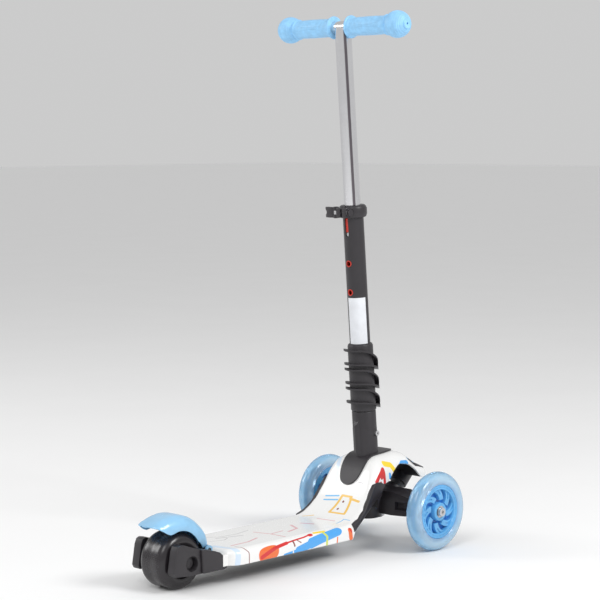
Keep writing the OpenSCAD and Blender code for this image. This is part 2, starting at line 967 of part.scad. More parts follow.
deck_shell();
chassis_tray();
chassis_slope();
chassis_nose();
rear_fork();
base_plate();
stem_socket();
socket_bolt();
socket_nut();
lower_tube();
tube_liner();
height_grommets();
seat_bracket_sleeve();
blank_label();
clamp_collar();
clamp_skewer();
clamp_nut();
lever_pin();
kingpin_bolt();
kingpin_dome_nut();
kingpin_washer();
kingpin_bushings();
deck_screws();
rear_axle_bolt();
rear_axle_nut();
rear_axle_spacers();
fender_hinge_pin();
fender_spring();
clamp_lever();
rear_fender();
rear_tyre();
rear_hub();
rear_bearings();
rear_bearing_sleeve();
truck_beam();
front_axle_bolts();
front_axle_washers();
front_axle_spacers();
front_tyre_left();
front_hub_left();
light_ring_left();
front_bearings_left();
bearing_sleeve_left();
front_tyre_right();
front_hub_right();
light_ring_right();
front_bearings_right();
bearing_sleeve_right();
upper_tube();
crossbar();
grip_left();
grip_right();
tube_end_plug();
button_spring();
snap_button();
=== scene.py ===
"""Children's three-wheel kick scooter: the finished look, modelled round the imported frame."""

import json
import math

import bpy
from mathutils import Matrix, Vector


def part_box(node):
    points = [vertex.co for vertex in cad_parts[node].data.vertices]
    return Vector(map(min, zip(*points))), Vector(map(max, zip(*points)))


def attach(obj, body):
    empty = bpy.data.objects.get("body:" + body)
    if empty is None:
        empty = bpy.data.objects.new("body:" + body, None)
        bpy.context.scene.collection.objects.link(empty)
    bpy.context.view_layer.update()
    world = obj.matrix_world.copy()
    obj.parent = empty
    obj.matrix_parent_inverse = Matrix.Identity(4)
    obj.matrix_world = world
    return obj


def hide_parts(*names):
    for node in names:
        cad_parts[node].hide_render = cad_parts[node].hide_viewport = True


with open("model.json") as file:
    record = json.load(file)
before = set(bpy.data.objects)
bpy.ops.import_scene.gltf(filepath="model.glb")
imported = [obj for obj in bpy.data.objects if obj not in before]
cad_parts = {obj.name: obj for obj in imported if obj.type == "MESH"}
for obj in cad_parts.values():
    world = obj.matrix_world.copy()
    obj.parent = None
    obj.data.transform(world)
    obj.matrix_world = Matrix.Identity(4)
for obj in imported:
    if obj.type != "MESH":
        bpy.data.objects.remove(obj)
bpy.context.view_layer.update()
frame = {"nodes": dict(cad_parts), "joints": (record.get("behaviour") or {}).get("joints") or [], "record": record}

bl_info = {
    "name": "Kick Scooter Finish",
    "version": (1, 0, 0),
    "blender": (4, 5, 0),
    "location": "View3D > Sidebar > Scooter",
    "description": "Models and finishes the visible pieces of a children's three-wheel kick scooter",
    "category": "Object",
}

MM = 0.001
FULL_TURN = 2 * math.pi


def middle(node):
    """The centre of a CAD node's box."""
    low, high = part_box(node)
    return (low + high) / 2


JOINTS = {joint["name"]: joint for joint in frame["joints"]}
FRONT = middle("front_axle_bolts")
REAR = middle("rear_hub")
LEFT_WHEEL = middle("front_tyre_left")
RIGHT_WHEEL = middle("front_tyre_right")
BAR = middle("crossbar")
LATERAL = Vector((0, 1, 0))
STEM_UP = Vector(JOINTS["height_slide"]["axis"]).normalized()
STEM_AHEAD = LATERAL.cross(STEM_UP)
STEM_FOOT = Vector((FRONT.x - 28.2 * MM, 0, 100 * MM))
KING_UP = Vector(JOINTS["lean_steer"]["axis"]).normalized()
KING_FOOT = Vector(JOINTS["lean_steer"]["pos_m"])

# Millimetres, as at() and on_stem() take them
TUBE_FIT = 15.82
REAR_X, REAR_Z = -434, 40
PIN_X, PIN_Z = -386, 50


def at(x, y, z):
    """Millimetres ahead of, left of and above the floor point under the front axle."""
    return Vector((FRONT.x + x * MM, y * MM, z * MM))


def on_stem(x, y, s):
    """Millimetres ahead of, left of and along the raked stem."""
    return STEM_FOOT + (STEM_AHEAD * x + LATERAL * y + STEM_UP * s) * MM


def on_bar(y, r):
    """A grip's profile point: distance along the handlebar and radius, drawn below the bar."""
    return Vector((BAR.x, y * MM, BAR.z - r * MM))


def on_wheel(centre, y, r):
    """A point straight below a wheel's axle: distance across and radius."""
    return centre + Vector((0, y * MM, -r * MM))


def rect(a, b, low, high):
    """The corners of a rectangle in a plane."""
    return [(a, low), (b, low), (b, high), (a, high)]


def arc(cx, cy, r, start, stop, steps):
    """Points of an arc in a plane, in degrees."""
    turns = [math.radians(start + (stop - start) * i / steps) for i in range(steps + 1)]
    return [(cx + r * math.cos(a), cy + r * math.sin(a)) for a in turns]


# ---- Settings ----

class ScooterColours(bpy.types.PropertyGroup):
    """Colours that a user would change."""

    grip: bpy.props.FloatVectorProperty(
        name="Grips", description="Soft grips on the handlebar", subtype="COLOR", default=(0.27, 0.56, 0.86))
    fender: bpy.props.FloatVectorProperty(
        name="Fender", description="Rear fender brake", subtype="COLOR", default=(0.30, 0.60, 0.88))
    plastic: bpy.props.FloatVectorProperty(
        name="Black plastic", description="Chassis, sleeve, clamp and fork", subtype="COLOR",
        default=(0.028, 0.025, 0.029))
    deck: bpy.props.FloatVectorProperty(
        name="Deck", description="Ground colour of the deck", subtype="COLOR", default=(0.88, 0.88, 0.87))
    tyre: bpy.props.FloatVectorProperty(
        name="Front tyres", description="Clear tinted tyres", subtype="COLOR", default=(0.36, 0.68, 0.94))
    hub: bpy.props.FloatVectorProperty(
        name="Front hubs", description="Swirl-spoked hubs", subtype="COLOR", default=(0.12, 0.44, 0.82))


class ScooterSizes(bpy.types.PropertyGroup):
    """Sizes of details that a user would change."""

    shell: bpy.props.FloatProperty(
        name="Deck shell", description="Wall of the moulded deck cover", unit="LENGTH", default=2.4 * MM)
    groove: bpy.props.FloatProperty(
        name="Spoke groove", description="Depth of the groove along each spoke", unit="LENGTH",
        default=1.2 * MM)
    ridges: bpy.props.IntProperty(
        name="Ball ridges", description="Raised rings on each grip's ball", default=6, min=2, max=9)
    slots: bpy.props.IntProperty(
        name="Rim slots", description="Small slots round each front rim", default=28, min=12, max=40)


def colours():
    return bpy.context.scene.scooter_colours


def sizes():
    return bpy.context.scene.scooter_sizes


# ---- Material nodes ----

class Value:
    """A shader socket that plain arithmetic works on."""

    def __init__(self, nodes, socket):
        self.nodes = nodes
        self.socket = socket

    def math(self, operation, *others, clamp=False):
        node = self.nodes.tree.nodes.new("ShaderNodeMath")
        node.operation = operation
        node.use_clamp = clamp
        for slot, item in zip(node.inputs, (self, *others)):
            self.nodes.feed(slot, item)
        return Value(self.nodes, node.outputs[0])

    def flipped(self, operation, first):
        node = self.nodes.tree.nodes.new("ShaderNodeMath")
        node.operation = operation
        self.nodes.feed(node.inputs[0], first)
        self.nodes.feed(node.inputs[1], self)
        return Value(self.nodes, node.outputs[0])

    def __add__(self, other):
        return self.math("ADD", other)

    __radd__ = __add__

    def __mul__(self, other):
        return self.math("MULTIPLY", other)

    __rmul__ = __mul__

    def __sub__(self, other):
        return self.math("SUBTRACT", other)

    def __rsub__(self, other):
        return self.flipped("SUBTRACT", other)

    def __truediv__(self, other):
        return self.math("DIVIDE", other)

    def __neg__(self):
        return self.math("MULTIPLY", -1.0)

    def __abs__(self):
        return self.math("ABSOLUTE")


class Material:
    """Builds one material's nodes."""

    def __init__(self, name, **shader):
        self.material = bpy.data.materials.new(name)
        self.material.use_nodes = True
        self.tree = self.material.node_tree
        self.shader = next(n for n in self.tree.nodes if n.type == "BSDF_PRINCIPLED")
        for socket, value in shader.items():
            slot = self.shader.inputs[socket.replace("_", " ")]
            slot.default_value = (*value, 1) if slot.type == "RGBA" else value

    def feed(self, slot, item):
        if isinstance(item, Value):
            self.tree.links.new(item.socket, slot)
        elif isinstance(item, (tuple, list, bpy.types.bpy_prop_array)) and slot.type == "RGBA":
            slot.default_value = (*item, 1)
        else:
            slot.default_value = item

    def add(self, kind, settings=None, output=0, **sockets):
        """A node of a kind, its settings first and then its sockets, as values or links."""
        node = self.tree.nodes.new("ShaderNode" + kind)
        for key, value in (settings or {}).items():
            setattr(node, key, value)
        for key, value in sockets.items():
            numbered = key[0] == "i" and key[1:].isdigit()
            self.feed(node.inputs[int(key[1:]) if numbered else key.replace("_", " ")], value)
        return Value(self, node.outputs[output])

    def place(self, origin=(0, 0, 0)):
        """Object coordinates from an origin, in millimetres."""
        coords = self.tree.nodes.new("ShaderNodeTexCoord")
        moved = self.add("VectorMath", {"operation": "SUBTRACT"}, i0=Value(self, coords.outputs["Object"]),
                         i1=tuple(origin))
        return self.add("VectorMath", {"operation": "SCALE"}, i0=moved, Scale=1 / MM)

    def split(self, vector):
        node = self.tree.nodes.new("ShaderNodeSeparateXYZ")
        self.feed(node.inputs[0], vector)
        return [Value(self, out) for out in node.outputs]

    def mix(self, mask, below, above):
        node = self.tree.nodes.new("ShaderNodeMix")
        node.data_type = "RGBA"
        self.feed(node.inputs["Factor"], mask)
        self.feed(node.inputs[6], below)
        self.feed(node.inputs[7], above)
        return Value(self, node.outputs[2])

    def noise(self, vector, scale, detail=3.0, output=0):
        return self.add("TexNoise", output=output, Vector=vector, Scale=scale, Detail=detail)

    def step(self, value, low, high, to_low=0.0, to_high=1.0):
        """A smooth step of a value between two limits."""
        return self.add("MapRange", {"interpolation_type": "SMOOTHSTEP"}, Value=value, i1=low, i2=high,
                        i3=to_low, i4=to_high)

    def bump(self, height, strength=0.3, distance=0.2 * MM):
        bump = self.add("Bump", Strength=strength, Distance=distance, Height=height)
        self.tree.links.new(bump.socket, self.shader.inputs["Normal"])

    def paint(self, **links):
        for socket, value in links.items():
            self.feed(self.shader.inputs[socket.replace("_", " ")], value)
        return self.material


def moulded_plastic(name, colour, roughness, grain=1.0, coat=0.0):
    """Injection-moulded plastic: slow tone drift, fine grain and faint handling marks."""
    m = Material(name, Base_Color=tuple(colour), Roughness=roughness, Coat_Weight=coat)
    p = m.place()
    drift = m.step(m.noise(p, 0.035), 0.3, 0.7)
    marks = m.step(m.noise(p, 0.4, 6.0), 0.55, 0.8)
    darker = tuple(c * 0.86 for c in colour)
    m.bump(m.noise(p, 2.2, 2.0), 0.12 * grain, 0.12 * MM)
    return m.paint(Base_Color=m.mix(drift, darker, tuple(colour)),
                   Roughness=m.step(marks, 0.0, 1.0, roughness, roughness + 0.09))


def bare_metal(name, colour, roughness, streak):
    """Plated or polished metal with fine lines round it and a few cloudy spots."""
    m = Material(name, Base_Color=colour, Metallic=1.0, Roughness=roughness)
    p = m.place()
    x, y, z = m.split(p)
    lines = m.noise(m.add("CombineXYZ", X=x * streak[0], Y=y * streak[1], Z=z * streak[2]), 1.0, 4.0)
    clouds = m.noise(p, 0.05, 2.0)
    m.bump(lines, 0.05, 0.05 * MM)
    return m.paint(Roughness=m.step(clouds * 0.6 + lines * 0.4, 0.3, 0.7, roughness, roughness + 0.1),
                   Base_Color=m.mix(m.step(clouds, 0.35, 0.7), colour, tuple(c * 0.9 for c in colour)))


def chrome_painted_reflection(name):
    """Bright plating on the stem tube, with a painted reflection: a darker band painted down each side, as
    polished tube shows it.
    """
    bright, reflected_dark = (0.86, 0.86, 0.88), (0.20, 0.18, 0.20)
    m = Material(name, Base_Color=bright, Metallic=1.0, Roughness=0.16)
    p = m.place(STEM_FOOT)
    x, y, z = m.split(p)
    ahead = x * STEM_AHEAD.x + z * STEM_AHEAD.z
    round_tube = (y.math("ARCTAN2", ahead) + 2.16).math("SINE")
    clouds = m.noise(p, 0.05, 2.0)
    m.bump(m.noise(p, 0.8, 4.0), 0.04, 0.05 * MM)
    # Painted reflection: the band lays a dark colour down each side of the tube, where polished tube would mirror
    # a dark surround.
    band = m.step(abs(round_tube + clouds * 0.04), 0.22, 0.12)
    return m.paint(Base_Color=m.mix(band, m.mix(clouds, bright, (0.78, 0.78, 0.80)), reflected_dark),
                   Roughness=m.step(clouds, 0.3, 0.7, 0.12, 0.2))


def from_axle(m, centre):
    """Distance from a wheel's axle in the wheel's plane, distance across it, and the angle round it."""
    x, y, z = m.split(m.place(centre))
    return (x * x + z * z).math("SQRT"), abs(y), x.math("ARCTAN2", z)


def clear_tyre(name, centre):
    """Clear tinted tyre: deeper over the rim, with a painted highlight that makes its shoulders pale, and soft
    inner clouding.
    """
    tint = tuple(colours().tyre)
    m = Material(name, Base_Color=tint, Roughness=0.12, IOR=1.45, Transmission_Weight=0.55, Coat_Weight=0.3)
    radius, across, _ = from_axle(m, centre)
    cloud = m.noise(m.place(), 0.09)
    deep = m.mix(m.step(radius, 41.0, 50.0), (0.12, 0.42, 0.85), tint)
    # Painted highlight: pale blue-white is mixed into the shoulders' base colour in place of the white highlights
    # along the tyre's edges.
    pale = m.mix(m.step(across, 7.0, 12.0, 0.0, 0.45), deep, (0.80, 0.93, 1.0))
    return m.paint(Base_Color=m.mix(m.step(cloud, 0.4, 0.7, 0.0, 0.2), pale, (0.72, 0.88, 1.0)),
                   Roughness=m.step(cloud, 0.3, 0.7, 0.08, 0.2))


def solid_tyre(name, centre):
    """Smooth black tyre with a slight scuff band along each tread."""
    rubber = (0.022, 0.019, 0.022)
    m = Material(name, Base_Color=rubber, Roughness=0.26)
    radius, _, _ = from_axle(m, centre)
    p = m.place()
    scuff = m.step(m.noise(p, 0.7, 6.0), 0.45, 0.75) * m.step(radius, 37.5, 39.8)
    m.bump(m.noise(p, 1.5, 3.0), 0.06, 0.1 * MM)
    return m.paint(Base_Color=m.mix(scuff * 0.5, rubber, (0.05, 0.046, 0.048)),
                   Roughness=m.step(scuff, 0.0, 1.0, 0.24, 0.42))


def soft_grip(name):
    """Soft grip: fine raised dots round a smooth oval panel."""
    tone = tuple(colours().grip)
    m = Material(name, Base_Color=tone, Roughness=0.48)
    x, y, z = m.split(m.place((BAR.x, 0, BAR.z)))
    along = abs(y)
    angle = z.math("ARCTAN2", x)
    radius = (x * x + z * z).math("SQRT")
    dots = (along * 2.4).math("SINE") * (angle * 22.0).math("SINE")
    oval = ((along - 56.0) / 30.0).math("POWER", 2.0) + ((abs(angle) - 2.5) / 0.55).math("POWER", 2.0)
    rim = 1.0 - m.step(abs(oval - 1.0), 0.0, 0.16)
    body = m.step(along, 24.0, 26.0) * m.step(along, 88.0, 86.0) * m.step(radius, 14.6, 14.2)
    outside = m.step(oval, 1.0, 1.12)
    m.bump(body * (m.step(dots, 0.1, 0.5) * outside + rim * 1.4), 0.55, 0.5 * MM)
    dust = m.step(m.noise(m.place(), 0.12, 5.0), 0.35, 0.75)
    paler = tuple(min(1.0, c * 1.18) for c in tone)
    return m.paint(Base_Color=m.mix(dust, tone, paler), Roughness=m.step(dust, 0.0, 1.0, 0.42, 0.56))


class Art:
    """Simple painted shapes on a surface given by two coordinates."""

    def __init__(self, material, u, v):
        self.m, self.u, self.v = material, u, v

    def lay(self, mask, colour):
        """Puts a colour over what is painted so far."""
        self.m.canvas = self.m.mix(mask, self.m.canvas, colour)

    def stroke(self, colour, points, width, fade=0.8):
        """A band through points, as the nearest of its straight pieces."""
        near = None
        for (ax, ay), (bx, by) in zip(points, points[1:]):
            dx, dy = bx - ax, by - ay
            length = dx * dx + dy * dy
            t = ((self.u - ax) * (dx / length) + (self.v - ay) * (dy / length)).math("ADD", 0.0, clamp=True)
            du, dv = self.u - ax - t * dx, self.v - ay - t * dy
            away = (du * du + dv * dv).math("SQRT")
            near = away if near is None else near.math("MINIMUM", away)
        self.lay(self.m.step(near, width / 2 + fade / 2, width / 2 - fade / 2), colour)

    def blob(self, colour, cu, cv, ru, rv, turn=0.0, power=2.5, fade=0.06):
        """A rounded patch."""
        c, s = math.cos(math.radians(turn)), math.sin(math.radians(turn))
        du, dv = self.u - cu, self.v - cv
        a, b = abs((du * c + dv * s) / ru), abs((dv * c - du * s) / rv)
        inside = a.math("POWER", power) + b.math("POWER", power)
        self.lay(self.m.step(inside, 1.0 + fade, 1.0 - fade), colour)


BLUE = (0.07, 0.38, 0.84)
SKY = (0.16, 0.50, 0.86)
RED = (0.66, 0.02, 0.02)
ORANGE = (0.85, 0.16, 0.03)
YELLOW = (0.95, 0.68, 0.03)
AMBER = (0.88, 0.55, 0.12)
BROWN = (0.25, 0.06, 0.05)
ROSE = (0.78, 0.42, 0.44)
GREY = (0.48, 0.46, 0.48)
LIME = (0.62, 0.70, 0.12)
PALE = (0.66, 0.78, 0.92)


# A colour, then a stroke's width and points, or a patch's centre, half sizes and turn
GROUND = None  # Stands for the deck's own colour
FLAT_ART = [
    (PALE, 8, [(-366, -16), (-362, -36), (-358, -58), (-361, -84)]),
    (BROWN, 1.5, [(-349, -40), (-344, -58), (-340, -66), (-340, -86)]),
    (ROSE, 3.4, [(-348, -32), (-314, -31), (-288, -22)]),
    (GREY, 2.2, [(-332, 18), (-290, 5)]),
    (ROSE, 3.4, [(-264, 9), (-256, -18), (-254, -45)]),
    (ROSE, 3, [(-256, -18), (-229, -15)]),
    (ROSE, 4.5, [(-226, -25), (-202, -18), (-192, 4)]),
    (ROSE, 5, [(-171, 3), (-163, -13)]),
    (GREY, 1.6, [(-340, 38), (-322, 22), (-292, 18), (-262, 24)]),
    (GREY, 1.4, [(-352, 10), (-330, 2), (-318, 8)]),
    (ORANGE, (-301, -74, 20, 12, 6)),
    (RED, 6.4, [(-315, -78), (-287, -68), (-264, -64)]),
    (RED, 3.4, [(-264, -64), (-248, -62), (-227, -60), (-214, -57)]),
    (RED, (-213, -58, 5, 3.6)),
    (BROWN, 2.8, [(-252, -62), (-249, -72)]),
    (BROWN, 1.8, [(-244, -62), (-236, -69)]),
    (YELLOW, 5, [(-204, -55), (-183, -57)]),
    (BLUE, 6, [(-269, -83), (-240, -80)]),
    (BLUE, 12, [(-242, -80), (-214, -74)]),
    (BLUE, 17, [(-214, -73), (-194, -69), (-157, -63)]),
    (GROUND, 2.2, [(-252, -70), (-252, -85)]),
    (LIME, 4, [(-187, -59), (-181, -69), (-182, -81)]),
    (ORANGE, 2.4, [(-159, -74), (-160, -81)]),
    (ORANGE, 8, [(-130, -79), (-132, -66)]),
    (RED, 2.6, [(-133, -63), (-129, -70)]),
    (SKY, 2, [(-136, -36), (-115, -34), (-115, -46)]),
    (ROSE, 3, [(-131, 8), (-127, -24)]),
    (AMBER, 3, [(-133, 37), (-121, 25)]),
    (AMBER, 4.5, [(-102, 5), (-58, -1), (-58, -20), (-100, -25), (-102, 5)]),
    (AMBER, 5, [(-62, -19), (-65, -37)]),
    (BROWN, (-71, -8, 2.6, 1.8)),
    (BROWN, (-90, -6, 2.6, 1.8)),
    (SKY, 3, [(-65, 31), (-60, 6)]),
    (SKY, 3, [(-74, 31), (-69, 5)]),
    (GREY, 2, [(-26, -22), (-26, -31)]),
    (PALE, 7, [(-30, 24), (-4, 30), (26, 35), (62, 30)]),
]
SIDE_ART = [
    (YELLOW, 8, [(-36, 128), (-24, 125), (-18, 115)]),
    (RED, 6, [(-45, 121), (-56, 111), (-62, 104)]),
    (RED, 6, [(-44, 121), (-43, 110), (-42, 101)]),
    (RED, 8, [(-45, 119), (-49, 110)]),
    (RED, (-52, 101.5, 2.6, 2.2)),
    (BLUE, 5, [(-30, 112), (-29, 106)]),
    (BLUE, 7, [(-14, 114), (2, 125), (14, 124)]),
    (SKY, 4, [(22, 129), (38, 122)]),
]


def deck_art(m):
    """Loose abstract shapes printed on the deck, on the slope and beside the hump."""
    ground = tuple(colours().deck)
    x, y, z = m.split(m.place(at(0, 0, 0)))
    rise = z - DECK_TOP
    along = x + rise.math("MAXIMUM", 0.0) * 0.9
    drop = (-rise).math("MAXIMUM", 0.0)
    flat = Art(m, along, y + drop * y.math("SIGN"))
    side = Art(m, x, z + m.step(y, -30.0, -28.0, 0.0, 400.0))
    m.canvas = ground
    for art, shapes in ((flat, FLAT_ART), (side, SIDE_ART)):
        for colour, *shape in shapes:
            if len(shape) == 2:
                art.stroke(colour or ground, shape[1], shape[0])
            else:
                art.blob(colour, *shape[0])
    return m.canvas


def printed_shell(name):
    """Glossy white shell with printed shapes under a clear coat."""
    m = Material(name, Roughness=0.24, Coat_Weight=0.5, Coat_Roughness=0.08)
    p = m.place()
    wear = m.step(m.noise(p, 0.5, 6.0), 0.5, 0.8)
    m.bump(m.noise(p, 1.2, 2.0), 0.05, 0.1 * MM)
    return m.paint(Base_Color=deck_art(m), Roughness=m.step(wear, 0.0, 1.0, 0.22, 0.34))


MATERIALS = {}


def finish_of(name):
    """The material of a finish, made the first time it is asked for."""
    if name not in MATERIALS:
        c = colours()
        maker, *values = {
            "chrome_painted_reflection": (chrome_painted_reflection,),
            "black_plastic": (moulded_plastic, c.plastic, 0.42),
            "black_metal": (moulded_plastic, c.plastic, 0.36, 1.6),
            "blue_shell": (moulded_plastic, c.fender, 0.22, 0.4, 0.4),
            "blue_hub": (moulded_plastic, c.hub, 0.22, 0.5, 0.3),
            "light_ring": (moulded_plastic, (0.03, 0.20, 0.62), 0.3, 0.4),
            "red_plastic": (moulded_plastic, (0.62, 0.035, 0.02), 0.32, 0.6),
            "label": (moulded_plastic, (0.80, 0.82, 0.86), 0.4, 0.3),
            "bushing_rubber": (moulded_plastic, (0.06, 0.06, 0.065), 0.6, 1.4),
            "steel": (bare_metal, (0.62, 0.62, 0.63), 0.28, (1.6, 1.6, 1.6)),
            "chrome": (bare_metal, (0.80, 0.79, 0.79), 0.13, (2.2, 2.2, 0.05)),
            "clear_tyre_left": (clear_tyre, LEFT_WHEEL),
            "clear_tyre_right": (clear_tyre, RIGHT_WHEEL),
            "black_tyre": (solid_tyre, REAR),
            "blue_grip": (soft_grip,),
            "white_shell": (printed_shell,),
        }[name]
        MATERIALS[name] = maker(name, *values)
    return MATERIALS[name]


# ---- Modelling by hand, in code ----

def deselect():
    if bpy.context.object and bpy.context.object.mode != "OBJECT":
        bpy.ops.object.mode_set(mode="OBJECT")
    bpy.ops.object.select_all(action="DESELECT")


def pick(*objects):
    """Selects only these objects, with the first one active."""
    deselect()
    for obj in objects:
        obj.select_set(True)
    bpy.context.view_layer.objects.active = objects[0]


def edit():
    bpy.ops.object.mode_set(mode="EDIT")


def done():
    bpy.ops.object.mode_set(mode="OBJECT")


def draw(points, closed=False):
    """Draws a line by extruding one vertex from point to point, and stays in edit mode."""
    points = [Vector(p) for p in points]
    deselect()
    bpy.ops.mesh.primitive_plane_add(size=MM, location=points[0])
    bpy.ops.object.transform_apply(location=True, rotation=False, scale=False)
    edit()
    bpy.ops.mesh.merge(type="CENTER")
    for a, b in zip(points, points[1:] + points[:1] if closed else points[1:]):
        bpy.ops.mesh.extrude_region_move(TRANSFORM_OT_translate={"value": b - a})
    bpy.ops.mesh.select_all(action="SELECT")
    bpy.ops.mesh.remove_doubles(threshold=0.002 * MM)


def clean():
    bpy.ops.mesh.select_all(action="SELECT")
    bpy.ops.mesh.remove_doubles(threshold=0.002 * MM)
    bpy.ops.mesh.normals_make_consistent(inside=False)


def heal(obj):
    """Merges a piece's doubled points and turns its faces outward."""
    pick(obj)
    edit()
    clean()
    done()
    return obj


def lathe(points, centre, axis, steps=96, turn=FULL_TURN):
    """Turns a closed profile round an axis."""
    draw(points, True)
    bpy.ops.mesh.spin(steps=steps, angle=turn, center=centre, axis=axis)
    clean()
    if turn < FULL_TURN:
        bpy.ops.mesh.fill_holes(sides=0)
        clean()
    done()
    return bpy.context.object


def stem_turn(profile, steps=96, turn=FULL_TURN):
    """Turns a profile of radius and height round the stem."""
    return lathe([on_stem(r, 0, s) for r, s in profile], STEM_FOOT, STEM_UP, steps, turn)


def side_turn(x, z, profile, steps=40):
    """Turns a profile of distance to the left and height over the axis round a line across the scooter."""
    return lathe([at(x, y, z + r) for y, r in profile], at(x, 0, z), LATERAL, steps)


def wheel_turn(profile, centre, steps):
    """Turns a profile of distance across and radius round a wheel's axle."""
    return lathe([on_wheel(centre, y, r) for y, r in profile], centre, LATERAL, steps)


def king_turn(profile, steps):
    """Turns a profile of radius and height round the kingpin."""
    ahead = KING_UP.cross(LATERAL)
    return lathe([KING_FOOT + (KING_UP * s + ahead * r) * MM for r, s in profile], KING_FOOT, KING_UP, steps)


def slab(points, depth):
    """Fills an outline and extrudes it by a vector."""
    draw(points, True)
    bpy.ops.mesh.edge_face_add()
    bpy.ops.mesh.extrude_region_move(TRANSFORM_OT_translate={"value": depth})
    clean()
    done()
    return bpy.context.object


def side_slab(outline, y_from, y_to):
    """A slab from a side outline in axle millimetres, between two distances to the left."""
    return slab([at(x, y_from, z) for x, z in outline], Vector((0, (y_to - y_from) * MM, 0)))


def stem_slab(outline, s_from, s_to):
    """A slab from a plan outline round the stem."""
    return slab([on_stem(x, y, s_from) for x, y in outline], STEM_UP * (s_to - s_from) * MM)


def modify(obj, kind, **settings):
    """Adds a modifier and applies it."""
    pick(obj)
    modifier = obj.modifiers.new(kind.title(), kind)
    for key, value in settings.items():
        setattr(modifier, key, value)
    bpy.ops.object.modifier_apply(modifier=modifier.name)
    return obj


def soften(obj, width, segments=3, angle=32):
    return modify(obj, "BEVEL", width=width, segments=segments, limit_method="ANGLE",
                  angle_limit=math.radians(angle), use_clamp_overlap=True, harden_normals=False)


def combine(obj, other, operation):
    """A boolean of two pieces, which uses up the second."""
    modify(obj, "BOOLEAN", object=other, operation=operation, solver="EXACT")
    bpy.data.objects.remove(other)
    return obj


def cut(obj, *cutters):
    """Cuts other pieces out of a piece, which uses them up."""
    for cutter in cutters:
        combine(obj, cutter, "DIFFERENCE")
    return obj


def join(first, *others):
    """One object from several, as separate shells of one piece."""
    pick(first, *others)
    bpy.ops.object.join()
    return first


def copy_of(obj):
    """A copy with its own mesh."""
    pick(obj)
    bpy.ops.object.duplicate()
    return bpy.context.object


def shift(obj, move):
    """Moves a piece's mesh."""
    pick(obj)
    edit()
    bpy.ops.mesh.select_all(action="SELECT")
    bpy.ops.transform.translate(value=move)
    done()
    return obj


def turned(obj, angle, axis, centre):
    """Turns a piece's mesh about a line."""
    turn = Matrix.Translation(centre) @ Matrix.Rotation(angle, 4, axis) @ Matrix.Translation(-Vector(centre))
    obj.data.transform(turn)
    return obj


def ring(obj, count, centre):
    """Copies of a piece spaced evenly round an axle, which use it up."""
    copies = [turned(copy_of(obj), FULL_TURN * n / count, LATERAL, centre) for n in range(count)]
    bpy.data.objects.remove(obj)
    return copies


def mirrored(obj):
    """Mirrors a piece's mesh to the other side of the middle plane."""
    obj.data.transform(Matrix.Scale(-1, 4, LATERAL))
    pick(obj)
    edit()
    bpy.ops.mesh.select_all(action="SELECT")
    bpy.ops.mesh.flip_normals()
    done()
    return obj


def twin(obj):
    """A mirrored copy for the other side."""
    return mirrored(copy_of(obj))


def complete(obj, name, finish, body, *nodes, slot=None, smooth=35):
    """Names a finished piece, gives it its material, and puts it on its body."""
    pick(obj)
    bpy.ops.object.shade_smooth_by_angle(angle=math.radians(smooth))
    obj.name = name
    obj.data.name = name
    obj.data.materials.clear()
    obj.data.materials.append(finish_of(finish))
    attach(obj, body)
    if nodes:
        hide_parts(*nodes)
    return obj


# ---- Swept shells ----

def section_runs(row):
    """Lengths along half a section: the flat, the shoulder and the wall, then the shoulder's radius and the
    direction and depth of its drop."""
    cx, cz, mx, mz, half, radius = row[:6]
    depth = math.hypot(mx - cx, mz - cz)
    dx, dz = ((mx - cx) / depth, (mz - cz) / depth) if depth > 0.01 else (0.0, -1.0)
    r = max(min(radius, half), 0.01)
    bend = math.acos(max(1 - depth / r, 0.0))
    return half - r, r * bend, max(depth - r, 0.0), r, dx, dz


def section_point(row, t):
    """A point of a shell's section. The row holds the crown point, the wall's foot, half width, shoulder
    radius and crown height; t runs from -1 at one foot over the crown to 1 at the other."""
    flat, turn, wall, r, dx, dz = section_runs(row)
    run = abs(t) * (flat + turn + wall)
    if run <= flat:
        y, drop = run, 0.0
    elif run <= flat + turn:
        a = (run - flat) / r
        y, drop = flat + r * math.sin(a), r * (1 - math.cos(a))
    else:
        y, drop = flat + r, r + (run - flat - turn)
    lift = row[6] * (1 - (y / max(row[4], 0.01)) ** 2)
    return row[0] + dx * drop, math.copysign(y, t), row[1] + dz * drop + lift


def sweep(rows, columns):
    """A grid whose rows follow a shell's sections."""
    deselect()
    bpy.ops.mesh.primitive_grid_add(x_subdivisions=columns, y_subdivisions=len(rows) - 1, size=1)
    obj = bpy.context.object
    for n, vertex in enumerate(obj.data.vertices):
        row, column = divmod(n, columns + 1)
        vertex.co = at(*section_point(rows[row], 2 * column / columns - 1))
    return obj


def smooth_rows(rows, steps):
    """More rows between the given ones, without overshoot. Distance along the crown sets the pace."""
    pace = [0.0]
    for a, b in zip(rows, rows[1:]):
        pace.append(pace[-1] + max(math.hypot(b[0] - a[0], b[1] - a[1]), 1.0))
    slopes = []
    for k in range(len(rows)):
        row = []
        for n in range(len(rows[0])):
            before = (rows[k][n] - rows[k - 1][n]) / (pace[k] - pace[k - 1]) if k else None
            after = (rows[k + 1][n] - rows[k][n]) / (pace[k + 1] - pace[k]) if k < len(rows) - 1 else None
            if before is None or after is None:
                row.append(after if before is None else before)
            else:
                row.append(2 * before * after / (before + after) if before * after > 0 else 0.0)
        slopes.append(row)
    result = []
    for k in range(len(rows) - 1):
        span = pace[k + 1] - pace[k]
        for i in range(steps):
            f = i / steps
            ease = ((2 * f**3 - 3 * f**2 + 1), (f**3 - 2 * f**2 + f) * span,
                    (3 * f**2 - 2 * f**3), (f**3 - f**2) * span)
            result.append([ease[0] * rows[k][n] + ease[1] * slopes[k][n] + ease[2] * rows[k + 1][n]
                           + ease[3] * slopes[k + 1][n] for n in range(len(rows[0]))])
    result.append(list(rows[-1]))
    return result


DECK_TOP, DECK_BOTTOM, DECK_HALF = 50.0, 28.0, 60.0
DECK_REAR, CORNER, SHOULDER = -376.0, 26.0, 11.0


